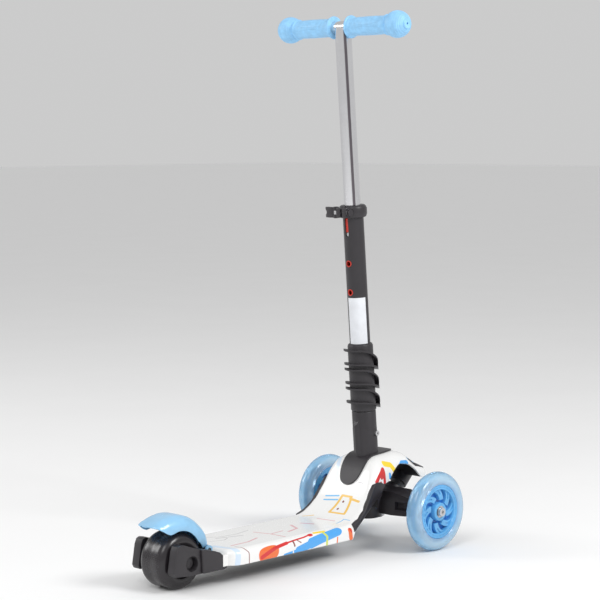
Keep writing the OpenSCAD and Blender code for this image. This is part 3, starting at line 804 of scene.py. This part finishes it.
def corner_row(x, top, radius):
    """A section in the deck's rounded rear corners."""
    inward = DECK_REAR + CORNER - x
    half = DECK_HALF - CORNER + math.sqrt(max(CORNER**2 - inward**2, 0.0))
    return [x, top, x, DECK_BOTTOM, half, radius, 0.0]


# Crown x and z, wall foot x and z, half width, shoulder radius, crown height
REAR_ROWS = [
    corner_row(DECK_REAR, DECK_BOTTOM, 0.0),
    corner_row(DECK_REAR, DECK_BOTTOM + 6, 0.5),
    corner_row(DECK_REAR, DECK_TOP - 11, 4.0),
    corner_row(DECK_REAR + 0.8, DECK_TOP - 6.8, 7.0),
    corner_row(DECK_REAR + 3.2, DECK_TOP - 3.2, 9.0),
    corner_row(DECK_REAR + 6.8, DECK_TOP - 0.8, 10.0),
    corner_row(DECK_REAR + 11, DECK_TOP, SHOULDER),
    corner_row(DECK_REAR + 18, DECK_TOP, SHOULDER),
    corner_row(DECK_REAR + CORNER, DECK_TOP, SHOULDER),
]
BODY_ROWS = [
    [-350, 50, -350, 28, 60, 11, 0],
    [-250, 50, -250, 28, 60, 11, 0.4],
    [-160, 50, -160, 28, 60, 11, 0.4],
    [-139, 50.1, -139, 28, 60, 11, 0.2],
    [-126, 51.4, -127, 28, 60, 11, 0],
    [-118, 53.6, -119, 42, 59.6, 11, 0],
    [-110, 57.2, -112, 52, 58.8, 11.5, 0],
    [-95, 69.0, -96, 63.5, 56.8, 12, 0],
    [-81, 88.0, -80, 82, 54.2, 12.5, 0],
    [-70, 106.0, -66, 98, 51.8, 13, 0],
    [-60, 122.5, -54, 101, 49.8, 16, 0],
    [-50, 133.5, -44, 99, 48.6, 22, 0],
    [-40, 137.6, -34, 101, 48.1, 28, 0.4],
    [-22, 139.0, -21, 115, 48, 30, 0.8],
    [0, 139.8, -2, 124.5, 48, 30, 0.8],
    [18, 137.6, 15, 122, 48, 30, 0.6],
    [34, 125.6, 30, 113, 48, 24, 0.4],
    [48, 118.4, 40, 102, 47.2, 20, 0.2],
    [60.5, 112.6, 50, 97, 46.3, 18, 0],
    [66, 110.0, 62, 97, 40.6, 16, 0],
    [70.5, 107.6, 69.6, 97, 32.6, 14, 0],
    [73.2, 104.6, 73.0, 97, 22.6, 10, 0],
    [74, 102.0, 74, 97, 14, 8, 0],
]
HUMP_STEPS = 5
HUMP_REAR = BODY_ROWS[10][0]


def deck_rows():
    return REAR_ROWS + smooth_rows(BODY_ROWS, HUMP_STEPS)[1:]


def skin_point(rows, reach, side):
    """A point on the deck's skin at a distance along its crown from the hump's rear edge, and to the side."""
    start = next(n for n, row in enumerate(rows) if row[0] >= HUMP_REAR - 0.01)
    while reach < 0 and start > 1:
        step = math.dist(rows[start][:2], rows[start - 1][:2])
        start, reach = start - 1, reach + step
    while True:
        step = math.dist(rows[start][:2], rows[start + 1][:2])
        if reach <= step or start + 2 >= len(rows):
            break
        start, reach = start + 1, reach - step
    f = reach / step
    row = [a + (b - a) * f for a, b in zip(rows[start], rows[start + 1])]
    return at(*section_point(row, side / sum(section_runs(row)[:3])))


# ---- Operators, one for each piece or group of like pieces ----

class SCOOTER_OT_deck(bpy.types.Operator):
    """Moulded white deck cover with its hump"""
    bl_idname = "scooter.deck"
    bl_label = "Deck shell"

    def execute(self, context):
        shell = sweep(deck_rows(), 88)
        heal(shell)
        modify(shell, "SOLIDIFY", thickness=sizes().shell, offset=-1.0, use_even_offset=True)
        stem_hole = stem_turn(rect(0, 18.9, -60, 80), 64)
        fork_slot = side_slab(rect(-380, -366, 20, 44), -49, 49)
        below_foot = side_slab(rect(-400, -340, 0, DECK_BOTTOM - 0.1), -80, 80)
        cut(shell, stem_hole, fork_slot, below_foot)
        complete(shell, "deck_cover", "white_shell", "deck", "deck_shell", smooth=40)

        lower = [(-123, 38), (-100, 53), (-78, 68), (-57, 82), (-44, 94), (-43, 98)]
        edge = [(-52, 103), (-62, 104), (-70, 101), (-77, 92), (-84, 81.5), (-96, 66), (-110, 55.5),
                (-125, 49.5)]
        inner, outer = 46, 60
        strap = side_slab(lower + edge, inner, outer)
        foot, run, widest, taper = at(-122, 0, 0).x, 70, 61.4, 11.2
        for vertex in strap.data.vertices:
            up_slope = min(max((vertex.co.x - foot) / MM / run, 0), 1)
            if vertex.co.y > (inner + outer) / 2 * MM:
                vertex.co.y = (widest - taper * up_slope) * MM
        soften(strap, 1.6 * MM, 3, 40)
        core = side_slab(lower + [(x + 2, z - 6) for x, z in edge], -inner - 0.5, inner + 0.5)
        join(strap, twin(strap), core)
        complete(strap, "side_straps", "black_plastic", "deck", "chassis_slope", smooth=45)
        return {"FINISHED"}


class SCOOTER_OT_base_plate(bpy.types.Operator):
    """Oval black plate that follows the hump round the stem"""
    bl_idname = "scooter.base_plate"
    bl_label = "Stem plate"

    def execute(self, context):
        rows = deck_rows()
        rear, front, half = -31.0, 83.0, 22.5
        across, along = 32, 56
        deselect()
        bpy.ops.mesh.primitive_grid_add(x_subdivisions=across, y_subdivisions=along, size=1)
        plate = context.object
        middle_run, reach = (rear + front) / 2, (front - rear) / 2
        for n, vertex in enumerate(plate.data.vertices):
            row, column = divmod(n, across + 1)
            turn = math.pi * (row / along - 0.5)
            run = math.sin(turn)
            width = half * (1 - abs(run)**3.2) ** (1 / 2.4)
            vertex.co = skin_point(rows, middle_run + reach * run, width * (2 * column / across - 1))
        heal(plate)
        modify(plate, "SOLIDIFY", thickness=3.4 * MM, offset=0.6, use_even_offset=True)
        cut(plate, stem_turn(rect(0, 18.7, -60, 80), 64))
        soften(plate, 1.0 * MM, 3, 50)
        complete(plate, "stem_plate", "black_plastic", "deck", "base_plate", smooth=40)
        return {"FINISHED"}


class SCOOTER_OT_stem_socket(bpy.types.Operator):
    """Stem socket with its rear ridge"""
    bl_idname = "scooter.stem_socket"
    bl_label = "Stem socket"

    def execute(self, context):
        low, high, outer = 14, 107, 18.5
        socket = stem_turn([(TUBE_FIT, low + 6), (TUBE_FIT, high), (outer - 0.6, high), (outer, high - 1.2),
                            (outer, low), (0, low), (0, low + 6)])
        ridge = stem_slab([(-9, -9.6), (-13.4, -9.6), (-22.0, -1.6), (-22.4, 0), (-22.0, 1.6), (-13.4, 9.6),
                           (-9, 9.6)], 42, 86)
        peak = stem_slab([(-9, -9.6), (-13.4, -9.6), (-22.4, 0), (-13.4, 9.6), (-9, 9.6)], 86, 97)
        slope = slab([on_stem(-23, -12, 84.5), on_stem(-15.2, -12, 97.5), on_stem(-30, -12, 98)],
                     LATERAL * 24 * MM)
        cut(peak, slope)
        core = stem_turn(rect(0, outer - 1, 40, 100), 64)
        combine(ridge, peak, "UNION")
        cut(ridge, core)
        soften(ridge, 0.8 * MM, 2, 40)
        bolt_x, bolt_s, bolt_r = 5, 72, 2.6
        bolt_hole = lathe([on_stem(bolt_x, -30, bolt_s), on_stem(bolt_x + bolt_r, -30, bolt_s),
                           on_stem(bolt_x + bolt_r, 30, bolt_s), on_stem(bolt_x, 30, bolt_s)],
                          on_stem(bolt_x, 0, bolt_s), LATERAL, 24)
        cut(socket, bolt_hole)
        join(socket, ridge)
        complete(socket, "stem_socket_shell", "black_plastic", "deck", "stem_socket", smooth=40)
        return {"FINISHED"}


class SCOOTER_OT_sleeve(bpy.types.Operator):
    """Ribbed sleeve with three hooded steps on the stem"""
    bl_idname = "scooter.sleeve"
    bl_label = "Ribbed sleeve"

    def execute(self, context):
        low, high, outer = 108, 212, 19.5
        sleeve = stem_turn([(TUBE_FIT, low + 2), (TUBE_FIT, high), (outer - 3.4, high),
                            (outer - 1.0, high - 1.4), (outer, high - 4), (outer, low + 1), (outer - 0.8, low),
                            (TUBE_FIT, low)])
        top, rim, pitch = 204.5, 26.0, 29.6
        roof = [(-40, 0), (-18, 0), (-10, -1.8), (-4, -4.6), (2, -8.2), (8, -12.2), (13, -16), (17, -19.6),
                (21, -24.5), (24, -30), (25.5, -36)]
        shelf = [(20, -36), (12, -32.5), (4, -29), (-6, -26), (-18, -24), (-40, -23.4)]
        mouth = [(-40, -20.8), (-18, -21.4), (-6, -23.4), (4, -26.2), (12, -29.6), (18, -32.4), (20.5, -29),
                 (18, -25), (14, -20.2), (10, -16.4), (6, -13.6), (0, -9.8), (-6, -6.4), (-12, -4.2),
                 (-18, -2.8), (-40, -2.6)]
        outline = roof + shelf + mouth
        hood = stem_turn(rect(TUBE_FIT + 1.2, rim, top - 37, top + 2), 128)
        side_cut = slab([on_stem(x, -30, top + z) for x, z in outline], LATERAL * 60 * MM)
        combine(hood, side_cut, "INTERSECT")
        soften(hood, 0.7 * MM, 3, 36)
        others = [shift(copy_of(hood), -STEM_UP * pitch * n * MM) for n in (1, 2)]
        join(sleeve, hood, *others)
        complete(sleeve, "ribbed_sleeve", "black_plastic", "deck", "seat_bracket_sleeve", smooth=38)
        return {"FINISHED"}


class SCOOTER_OT_clamp(bpy.types.Operator):
    """Split collar at the top of the black tube"""
    bl_idname = "scooter.clamp"
    bl_label = "Clamp collar"

    def execute(self, context):
        low, high = 405, 424
        profile = [(TUBE_FIT, low), (17.4, low), (19.6, low + 1.0), (20.8, low + 3.6), (21, low + 9.5),
                   (20.8, high - 4.0), (19.8, high - 1.6), (18.0, high), (12.95, high), (12.95, high - 2.6),
                   (TUBE_FIT, high - 2.6)]
        opening = math.radians(9)
        collar = stem_turn(profile, 84, FULL_TURN - opening)

        def skewer_hole(y_from, y_to, radius):
            points = [(-21, y_from), (-21 + radius, y_from), (-21 + radius, y_to), (-21, y_to)]
            return lathe([on_stem(x, y, low + 9.5) for x, y in points], on_stem(-21, 0, low + 9.5), LATERAL, 32)

        turned(collar, math.pi + opening / 2, STEM_UP, STEM_FOOT)
        ears = []
        for sign in (-1, 1):
            ear = stem_slab([(-15, sign * 1.6), (-27, sign * 1.6), (-27, sign * 10), (-17.2, sign * 10),
                             (-14.2, sign * 8.2)], low + 2, low + 17)
            ears.append(soften(cut(ear, skewer_hole(-30, 30, 2.6)), 1.3 * MM, 3, 50))
        cut(collar, skewer_hole(-10.05, -30, 6.5))
        soften(collar, 0.5 * MM, 2, 45)
        ribs = []
        for turn in (-38, -26, -14, 14, 26, 38):
            rib = stem_slab([(20.4, -1), (21.6, -0.7), (21.6, 0.7), (20.4, 1)], low + 4.2, high - 4.6)
            ribs.append(turned(soften(rib, 0.3 * MM, 2, 40), math.radians(turn), STEM_UP, STEM_FOOT))
        join(collar, *ears, *ribs)
        complete(collar, "clamp_ring", "black_plastic", "deck", "clamp_collar", smooth=38)
        return {"FINISHED"}


class SCOOTER_OT_lever(bpy.types.Operator):
    """Quick-release lever of the clamp"""
    bl_idname = "scooter.lever"
    bl_label = "Clamp lever"

    def execute(self, context):
        low = 406
        pivot = on_stem(-21, 15, low)
        barrel = [(2.05, low), (4.0, low), (4.6, low + 0.7), (4.6, low + 16.3), (4.0, low + 17),
                  (2.05, low + 17)]
        hub = lathe([on_stem(-21 + r, 15, s) for r, s in barrel], pivot, STEM_UP, 40)
        cut(hub, stem_slab(rect(-27, -15, 9, 21), low + 5.5, low + 11.5))
        start, stop = 143, 97
        arm = stem_slab(arc(0, 0, 27.5, start, stop, 22) + arc(0, 0, 22.4, stop + 1.5, start, 22),
                        low + 0.6, low + 16.4)
        tip = math.radians(stop - 0.5)
        notch = lathe([on_stem(18, 0, low + 8.5), on_stem(18, 0, low + 12.1), on_stem(32, 0, low + 12.1),
                       on_stem(32, 0, low + 8.5)], on_stem(0, 0, low + 8.5), STEM_AHEAD, 32)
        turned(notch, tip, STEM_UP, STEM_FOOT)
        cut(arm, notch)
        soften(arm, 1.4 * MM, 3, 40)
        join(arm, hub)
        turned(arm, math.radians(56), STEM_UP, pivot)
        complete(arm, "quick_lever", "black_plastic", "lever", "clamp_lever", smooth=40)
        return {"FINISHED"}


class SCOOTER_OT_grips(bpy.types.Operator):
    """Soft grips with ringed balls at their ends"""
    bl_idname = "scooter.grips"
    bl_label = "Grips"

    def execute(self, context):
        ball, ball_y, end = 20.0, 109.0, 128.6
        profile = [(16, 9.6), (16, 15.6), (16.5, 16.8), (17.6, 17.1), (18.8, 16.6), (19.4, 15.4), (20.6, 15.0),
                   (22.2, 15.2), (23.2, 14.6), (24.2, 13.7), (30, 13.5)]
        profile += [(30 + 4 * n, 13.5 + 0.45 * math.sin(math.pi * n / 14)) for n in range(1, 14)]
        profile += [(86.5, 13.5), (88.6, 13.8), (89.6, 15.0), (91.0, 15.5), (92.4, 14.9)]
        first, last, rings = 44, 156, sizes().ridges
        steps = rings * 8
        for n in range(steps + 1):
            a = math.radians(first + (last - first) * n / steps)
            wave = 0.55 * math.sin(math.pi * n / 4) ** 2 * (1 if 4 < n < steps - 2 else 0)
            r = ball - 0.5 + wave
            profile.append((ball_y - r * math.cos(a), r * math.sin(a)))
        profile += [(end - 0.9, 8.0), (end, 7.3), (end, 2.2), (end - 0.6, 1.6), (end - 8, 1.6), (end - 8, 9.6)]
        grip = lathe([on_bar(y, r) for y, r in profile], BAR, LATERAL, 96)
        other = twin(grip)
        complete(grip, "soft_grip_left", "blue_grip", "handlebar", "grip_left", smooth=40)
        complete(other, "soft_grip_right", "blue_grip", "handlebar", "grip_right", smooth=40)
        return {"FINISHED"}


class SCOOTER_OT_fender(bpy.types.Operator):
    """Rear fender that presses on the wheel as a brake"""
    bl_idname = "scooter.fender"
    bl_label = "Fender brake"

    def execute(self, context):
        crown_x, crown_z, outer, half = -440.0, 46.0, 57.9, 27.4
        rows = []
        for n in range(34):
            a = math.radians(8 + (96 - 8) * n / 33)
            cx, cz = crown_x + outer * math.cos(a), crown_z + outer * math.sin(a)
            skirt = 12 + 7.5 * min(1, n / 8)
            mx, mz = cx - skirt * math.cos(a), cz - skirt * math.sin(a)
            width = half * (0.80 + 0.20 * min(1, n / 7) ** 0.6)
            rows.append([cx, cz, mx, mz, width, 6.5 + 8.5 * min(1, n / 14), 1.0])
        tail = [[-446.1, 103.6, -444, 84.2, 27.4, 15, 1], [-457, 101.8, -456.4, 81.2, 26.8, 15, 1],
                [-463, 100.4, -462, 83, 26.4, 15, 1], [-468, 98.8, -467.5, 86.6, 25.6, 15, 1],
                [-472, 97.4, -472, 89.4, 24, 12, 1], [-475.5, 96.2, -475.5, 91.4, 21.5, 9, 0.8],
                [-478.5, 95.2, -478.5, 92, 18, 6, 0.6], [-481, 94.6, -481, 92.6, 12.5, 3, 0.4],
                [-482.6, 94.4, -482.6, 93.2, 6, 1.5, 0.2]]
        rows += smooth_rows(tail, 3)[1:]
        fender = sweep(rows, 60)
        heal(fender)
        modify(fender, "SOLIDIFY", thickness=2.6 * MM, offset=-1.0, use_even_offset=True)
        soften(fender, 0.6 * MM, 2, 50)
        eye = side_turn(PIN_X, PIN_Z, rect(24.2, 27.4, -2.6, -5.9))
        pad = side_slab([(-452, 85.4), (-452, 100.6), (-436.5, 101.6), (-436.5, 85.0)], -11.5, 11.5)
        soften(pad, 1.2 * MM, 3, 40)
        join(fender, eye, twin(eye), pad)
        complete(fender, "fender_brake", "blue_shell", "fender", "rear_fender", smooth=42)
        return {"FINISHED"}


class SCOOTER_OT_fork(bpy.types.Operator):
    """Rear fork arms with countersunk axle seats"""
    bl_idname = "scooter.fork"
    bl_label = "Rear fork"

    def execute(self, context):
        outline = [(-467, 31), (-464, 26), (-442, 24), (-388, 23), (-376, 23), (-372, 25.5), (-372.6, 29),
                   (-376, 35), (-383, 42.5), (-395, 50.5), (-412, 56), (-430, 61.5), (-446, 67.6), (-454, 69),
                   (-459, 67), (-462, 60)]
        arm = side_slab(outline, 30.5, 44.4)
        toe = side_slab([(-417, 23.6), (-376, 23), (-371, 25), (-369, 29), (-371, 35), (-376, 42), (-384, 48.5),
                         (-395, 52.5), (-412, 57), (-419, 58)], 30.5, 48.6)
        soften(toe, 4.4 * MM, 5, 40)
        cut(arm, side_turn(REAR_X, REAR_Z, [(35, 0), (35, 9.5), (60, 9.5), (60, 0)], 64))
        cut(arm, side_turn(REAR_X, REAR_Z, [(20, 0), (20, 4.1), (60, 4.1), (60, 0)]))
        soften(arm, 2.6 * MM, 4, 34)
        join(arm, toe)
        raised = side_turn(REAR_X, REAR_Z, [(44.0, -9.8), (44.4, -9.6), (44.4, -10.8), (44.0, -11.1)], 64)
        other = mirrored(join(copy_of(arm), copy_of(raised)))
        join(arm, raised, other)
        cross = side_slab([(-392, 27), (-376.5, 27), (-376.5, 41), (-389, 41), (-392, 38)], -31.4, 31.4)
        bite = side_turn(REAR_X, REAR_Z, [(-28.5, 0), (-28.5, 42), (28.5, 42), (28.5, 0)], 96)
        cut(cross, bite)
        tail = side_slab(rect(-378, -338, 30, 42), -30.4, 30.4)
        screw_x, screw_r = -352, 3.2
        for y in (-16, 16):
            bore = lathe([at(x, y, z) for x, z in rect(screw_x, screw_x + screw_r, 20, 60)],
                         at(screw_x, y, 0), Vector((0, 0, 1)), 24)
            cut(tail, bore)
        lug = side_turn(PIN_X, PIN_Z, [(-22, 2.6), (-22, 6), (-7, 6), (-7, 2.6)])
        web = side_slab(rect(PIN_X - 5, PIN_X + 5, 40, 47), -22, -7)
        rest = [soften(piece, 0.8 * MM, 2, 40) for piece in (cross, tail)]
        join(arm, *rest, lug, twin(lug), web, twin(web))
        complete(arm, "rear_fork_arms", "black_plastic", "deck", "rear_fork", smooth=36)
        return {"FINISHED"}


class SCOOTER_OT_front_wheels(bpy.types.Operator):
    """Clear front tyres on hubs with curved spokes"""
    bl_idname = "scooter.front_wheels"
    bl_label = "Front wheels"

    def execute(self, context):
        centre = RIGHT_WHEEL
        tread = arc(0, 48, 12, -30, 210, 30)
        tyre = wheel_turn([(9.6, 41.05)] + tread + [(-9.6, 41.05)], centre, 144)
        rim = [(-9.5, 34.2), (-9.5, 40.2), (-8.8, 41.0), (-7.4, 41.0), (-6.6, 40.4), (6.6, 40.4), (7.4, 41.0),
               (8.8, 41.0), (9.5, 40.2), (9.5, 34.2), (8.6, 33.4), (3, 32.8), (-3, 32.8), (-8.6, 33.4)]
        hub = wheel_turn(rim, centre, 168)
        cutters = []
        for sign in (-1, 1):
            points = [(8.9, 36.4), (8.9, 37.6), (12, 37.6), (12, 36.4)]
            slot = slab([on_wheel(centre, sign * y, r) for y, r in points], Vector((5.4 * MM, 0, 0)))
            cutters += ring(shift(slot, Vector((-2.7 * MM, 0, 0))), sizes().slots, centre)
        cut(hub, join(*cutters))
        boss = wheel_turn([(-10.9, 9), (-10.9, 12.6), (-10.2, 13.6), (-6.5, 14.4), (6.5, 14.4), (10.2, 13.6),
                           (10.9, 12.6), (10.9, 9)], centre, 96)
        swirl, thick, line, side = 21.0, 4.3, 1.05, 7.2

        def swirl_slab(half, start, stop, steps, y_from, y_to):
            """A curved bar along the swirl, between two distances across the wheel."""
            outer = arc(0, swirl, swirl + half, start, stop, steps)
            inner = arc(0, swirl, swirl - half, stop, start, steps)
            return slab([on_wheel(centre, y_from, -z) + Vector((x * MM, 0, 0)) for x, z in outer + inner],
                        Vector((0, (y_to - y_from) * MM, 0)))

        spoke = swirl_slab(thick, -38, 72, 16, -side, side)
        reach = wheel_turn([(-20, 13.2), (-20, 34.6), (20, 34.6), (20, 13.2)], centre, 96)
        combine(spoke, reach, "INTERSECT")
        floor = side - sizes().groove / MM
        for sign in (-1, 1):
            cut(spoke, swirl_slab(line, -14, 52, 12, sign * floor, sign * (floor + 6)))
        soften(spoke, 0.7 * MM, 2, 40)
        join(hub, boss, *ring(spoke, 8, centre))
        web = wheel_turn([(-1.2, 13.8), (-1.2, 33.6), (1.2, 33.6), (1.2, 13.8)], centre, 96)
        rib = slab([on_wheel(centre, y, r) for y, r in rect(1, 2.2, 19, 31)], Vector((1.2 * MM, 0, 0)))
        join(web, *ring(rib, 16, centre))
        other_web = twin(web)
        complete(web, "hub_web_right", "light_ring", "front_wheel_right")
        complete(other_web, "hub_web_left", "light_ring", "front_wheel_left")
        for piece, name, node in ((tyre, "clear_tyre", "front_tyre"), (hub, "swirl_hub", "front_hub")):
            other = twin(piece)
            for obj, side in ((piece, "right"), (other, "left")):
                finish = "blue_hub" if piece is hub else "clear_tyre_" + side
                complete(obj, f"{name}_{side}", finish, "front_wheel_" + side, f"{node}_{side}",
                         slot="blue_hub" if piece is hub else "clear_blue_tyre", smooth=36)
        return {"FINISHED"}


class SCOOTER_OT_rear_wheel(bpy.types.Operator):
    """Twin-crowned black rear wheel"""
    bl_idname = "scooter.rear_wheel"
    bl_label = "Rear wheel"

    def execute(self, context):
        crown = arc(13, 28, 12, -20, 88, 18)
        side = [(19.1, 20.1), (19.1, 23.6), (20.2, 24.9), (22.6, 25.3)] + crown
        half = side + [(8, 39.7), (3, 39.2), (0, 39.05)]
        tyre = wheel_turn(half + [(-y, r) for y, r in reversed(half[:-1])], REAR, 144)
        hub_half = [(18.9, 9.2), (18.9, 12.8), (18.2, 13.4), (15.6, 13.8), (15.2, 14.6), (15.2, 17.2),
                    (15.9, 18.0), (18.3, 18.4), (18.9, 19.0), (18.9, 20.0)]
        hub = wheel_turn(hub_half + [(-y, r) for y, r in reversed(hub_half)], REAR, 120)
        ribs = []
        for sign in (-1, 1):
            corners = [on_wheel(REAR, sign * y, r) for y, r in rect(15, 18, 13.2, 18.6)]
            rib = slab(corners, Vector((1.6 * MM, 0, 0)))
            soften(shift(rib, Vector((-0.8 * MM, 0, 0))), 0.3 * MM, 2, 40)
            ribs += ring(rib, 8, REAR)
        join(hub, *ribs)
        complete(tyre, "solid_tyre_rear", "black_tyre", "rear_wheel", "rear_tyre", smooth=36)
        complete(hub, "rear_hub_core", "black_plastic", "rear_wheel", "rear_hub", smooth=36)
        return {"FINISHED"}


class SCOOTER_OT_truck(bpy.types.Operator):
    """Steering beam with its kingpin boss"""
    bl_idname = "scooter.truck"
    bl_label = "Steering truck"

    def execute(self, context):
        front = [(-98, 49), (-42, 46), (42, 46), (98, 49), (98, 72), (46, 82), (-46, 82), (-98, 72)]
        beam = slab([at(-22, y, z) for y, z in front], Vector((44 * MM, 0, 0)))
        plan = [(-14, -98.5), (14, -98.5), (20, -50), (20, 50), (14, 98.5), (-14, 98.5), (-20, 50), (-20, -50)]
        trim = slab([at(x, y, 30) for x, y in plan], Vector((0, 0, 70 * MM)))
        combine(beam, trim, "INTERSECT")
        for sign in (-1, 1):
            pocket = slab([at(x, y, 56) for x, y in rect(-25, -12, sign * 62 - 13, sign * 62 + 13)],
                          Vector((0, 0, 12 * MM)))
            cut(beam, pocket)
        bolt, low, high = 5.05, 14, 46
        cut(beam, king_turn(rect(0, 13, -40, low), 64), king_turn(rect(0, bolt, -40, 80), 48))
        soften(beam, 1.8 * MM, 3, 30)
        boss = king_turn([(bolt, low), (16.2, low), (17, low + 0.8), (17, high - 0.8), (16.2, high),
                          (bolt, high)], 96)
        join(beam, boss)
        complete(beam, "steering_beam", "black_plastic", "truck", "truck_beam", smooth=36)
        return {"FINISHED"}


class SCOOTER_OT_carried(bpy.types.Operator):
    """Finishes on the precise parts that keep their shape"""
    bl_idname = "scooter.carried"
    bl_label = "Metal parts and trim"

    def execute(self, context):
        slots = {part["node"]: part["material_slot"] for part in frame["record"]["subparts"]}
        for node, obj in frame["nodes"].items():
            if obj.hide_render:
                continue
            slot = slots[node]
            # Painted shade: the rear axle's steel end is given the black finish, so that it reads as the dark,
            # shaded bore it sits in.
            if node.startswith("rear_axle"):
                slot = "black_metal"
            # The stem tube gets chrome with a painted dark reflection band down each side.
            if node == "upper_tube":
                slot = "chrome_painted_reflection"
            if slot == "clear_blue_tyre":
                slot = "clear_tyre_left" if node.endswith("left") else "clear_tyre_right"
            obj.data.materials.clear()
            obj.data.materials.append(finish_of(slot))
        return {"FINISHED"}


class SCOOTER_OT_stage(bpy.types.Operator):
    """Plain pale floor, soft studio light and the camera"""
    bl_idname = "scooter.stage"
    bl_label = "Studio"

    def execute(self, context):
        deselect()
        bpy.ops.mesh.primitive_plane_add(size=60, location=(0, 0, 0))
        floor = context.object
        floor.name = "studio_floor"
        paper = Material("studio_paper", Roughness=0.9)
        tone = paper.noise(paper.place(), 0.004)
        paper.paint(Base_Color=paper.mix(tone, (0.93, 0.93, 0.93), (0.96, 0.96, 0.96)))
        floor.data.materials.append(paper.material)

        world = bpy.data.worlds.new("studio_air")
        context.scene.world = world
        world.use_nodes = True
        backdrop = world.node_tree.nodes["Background"]
        backdrop.inputs["Color"].default_value = (1, 1, 1, 1)
        backdrop.inputs["Strength"].default_value = 0.6

        target = Vector((-0.02, 0, 0.35))
        for name, place, power, size in (
                ("key_light", (0.5, -2.4, 2.2), 42, 1.0),
                ("front_light", (-2.4, -1.2, 2.6), 26, 1.4),
                ("fill_light", (-1.6, 2.4, 1.6), 20, 1.0)):
            data = bpy.data.lights.new(name, "AREA")
            data.energy = power
            data.size = size
            lamp = bpy.data.objects.new(name, data)
            context.collection.objects.link(lamp)
            lamp.location = place
            lamp.rotation_euler = (target - lamp.location).to_track_quat("-Z", "Y").to_euler()

        yaw, pitch, roll = 0.777, 0.088, -0.003
        forward = Vector((math.cos(pitch) * math.cos(yaw), math.cos(pitch) * math.sin(yaw), -math.sin(pitch)))
        right = Vector((math.sin(yaw), -math.cos(yaw), 0))
        up = right.cross(forward)
        turn = Matrix((right, up, -forward)).transposed() @ Matrix.Rotation(roll, 3, "Z")
        data = bpy.data.cameras.new("studio_camera")
        data.lens = 111.14
        data.sensor_width = 36
        data.clip_end = 200
        camera = bpy.data.objects.new("studio_camera", data)
        context.collection.objects.link(camera)
        camera.matrix_world = Matrix.Translation((-1.9124, -1.9092, 0.6258)) @ turn.to_4x4()
        context.scene.camera = camera
        context.scene.view_settings.view_transform = "Standard"
        return {"FINISHED"}


class SCOOTER_PT_panel(bpy.types.Panel):
    """The pieces, the settings and the studio in the sidebar"""
    bl_idname = "SCOOTER_PT_panel"
    bl_label = "Kick scooter"
    bl_space_type = "VIEW_3D"
    bl_region_type = "UI"
    bl_category = "Scooter"

    def draw(self, context):
        layout = self.layout
        for group in (context.scene.scooter_sizes, context.scene.scooter_colours):
            box = layout.box()
            for name in group.__annotations__:
                box.prop(group, name)
        for operator in OPERATORS:
            layout.operator(operator.bl_idname)


OPERATORS = (
    SCOOTER_OT_deck,
    SCOOTER_OT_base_plate,
    SCOOTER_OT_stem_socket,
    SCOOTER_OT_sleeve,
    SCOOTER_OT_clamp,
    SCOOTER_OT_lever,
    SCOOTER_OT_grips,
    SCOOTER_OT_fender,
    SCOOTER_OT_fork,
    SCOOTER_OT_front_wheels,
    SCOOTER_OT_rear_wheel,
    SCOOTER_OT_truck,
    SCOOTER_OT_carried,
    SCOOTER_OT_stage,
)
CLASSES = (ScooterColours, ScooterSizes, *OPERATORS, SCOOTER_PT_panel)


def register():
    for cls in CLASSES:
        bpy.utils.register_class(cls)
    bpy.types.Scene.scooter_colours = bpy.props.PointerProperty(type=ScooterColours)
    bpy.types.Scene.scooter_sizes = bpy.props.PointerProperty(type=ScooterSizes)


def unregister():
    del bpy.types.Scene.scooter_sizes
    del bpy.types.Scene.scooter_colours
    for cls in reversed(CLASSES):
        bpy.utils.unregister_class(cls)


def main():
    register()
    for operator in OPERATORS:
        group, name = operator.bl_idname.split(".")
        result = getattr(getattr(bpy.ops, group), name)()
        if result != {"FINISHED"}:
            raise RuntimeError(operator.bl_label + " could not be made")


if __name__ == "__main__":
    main()
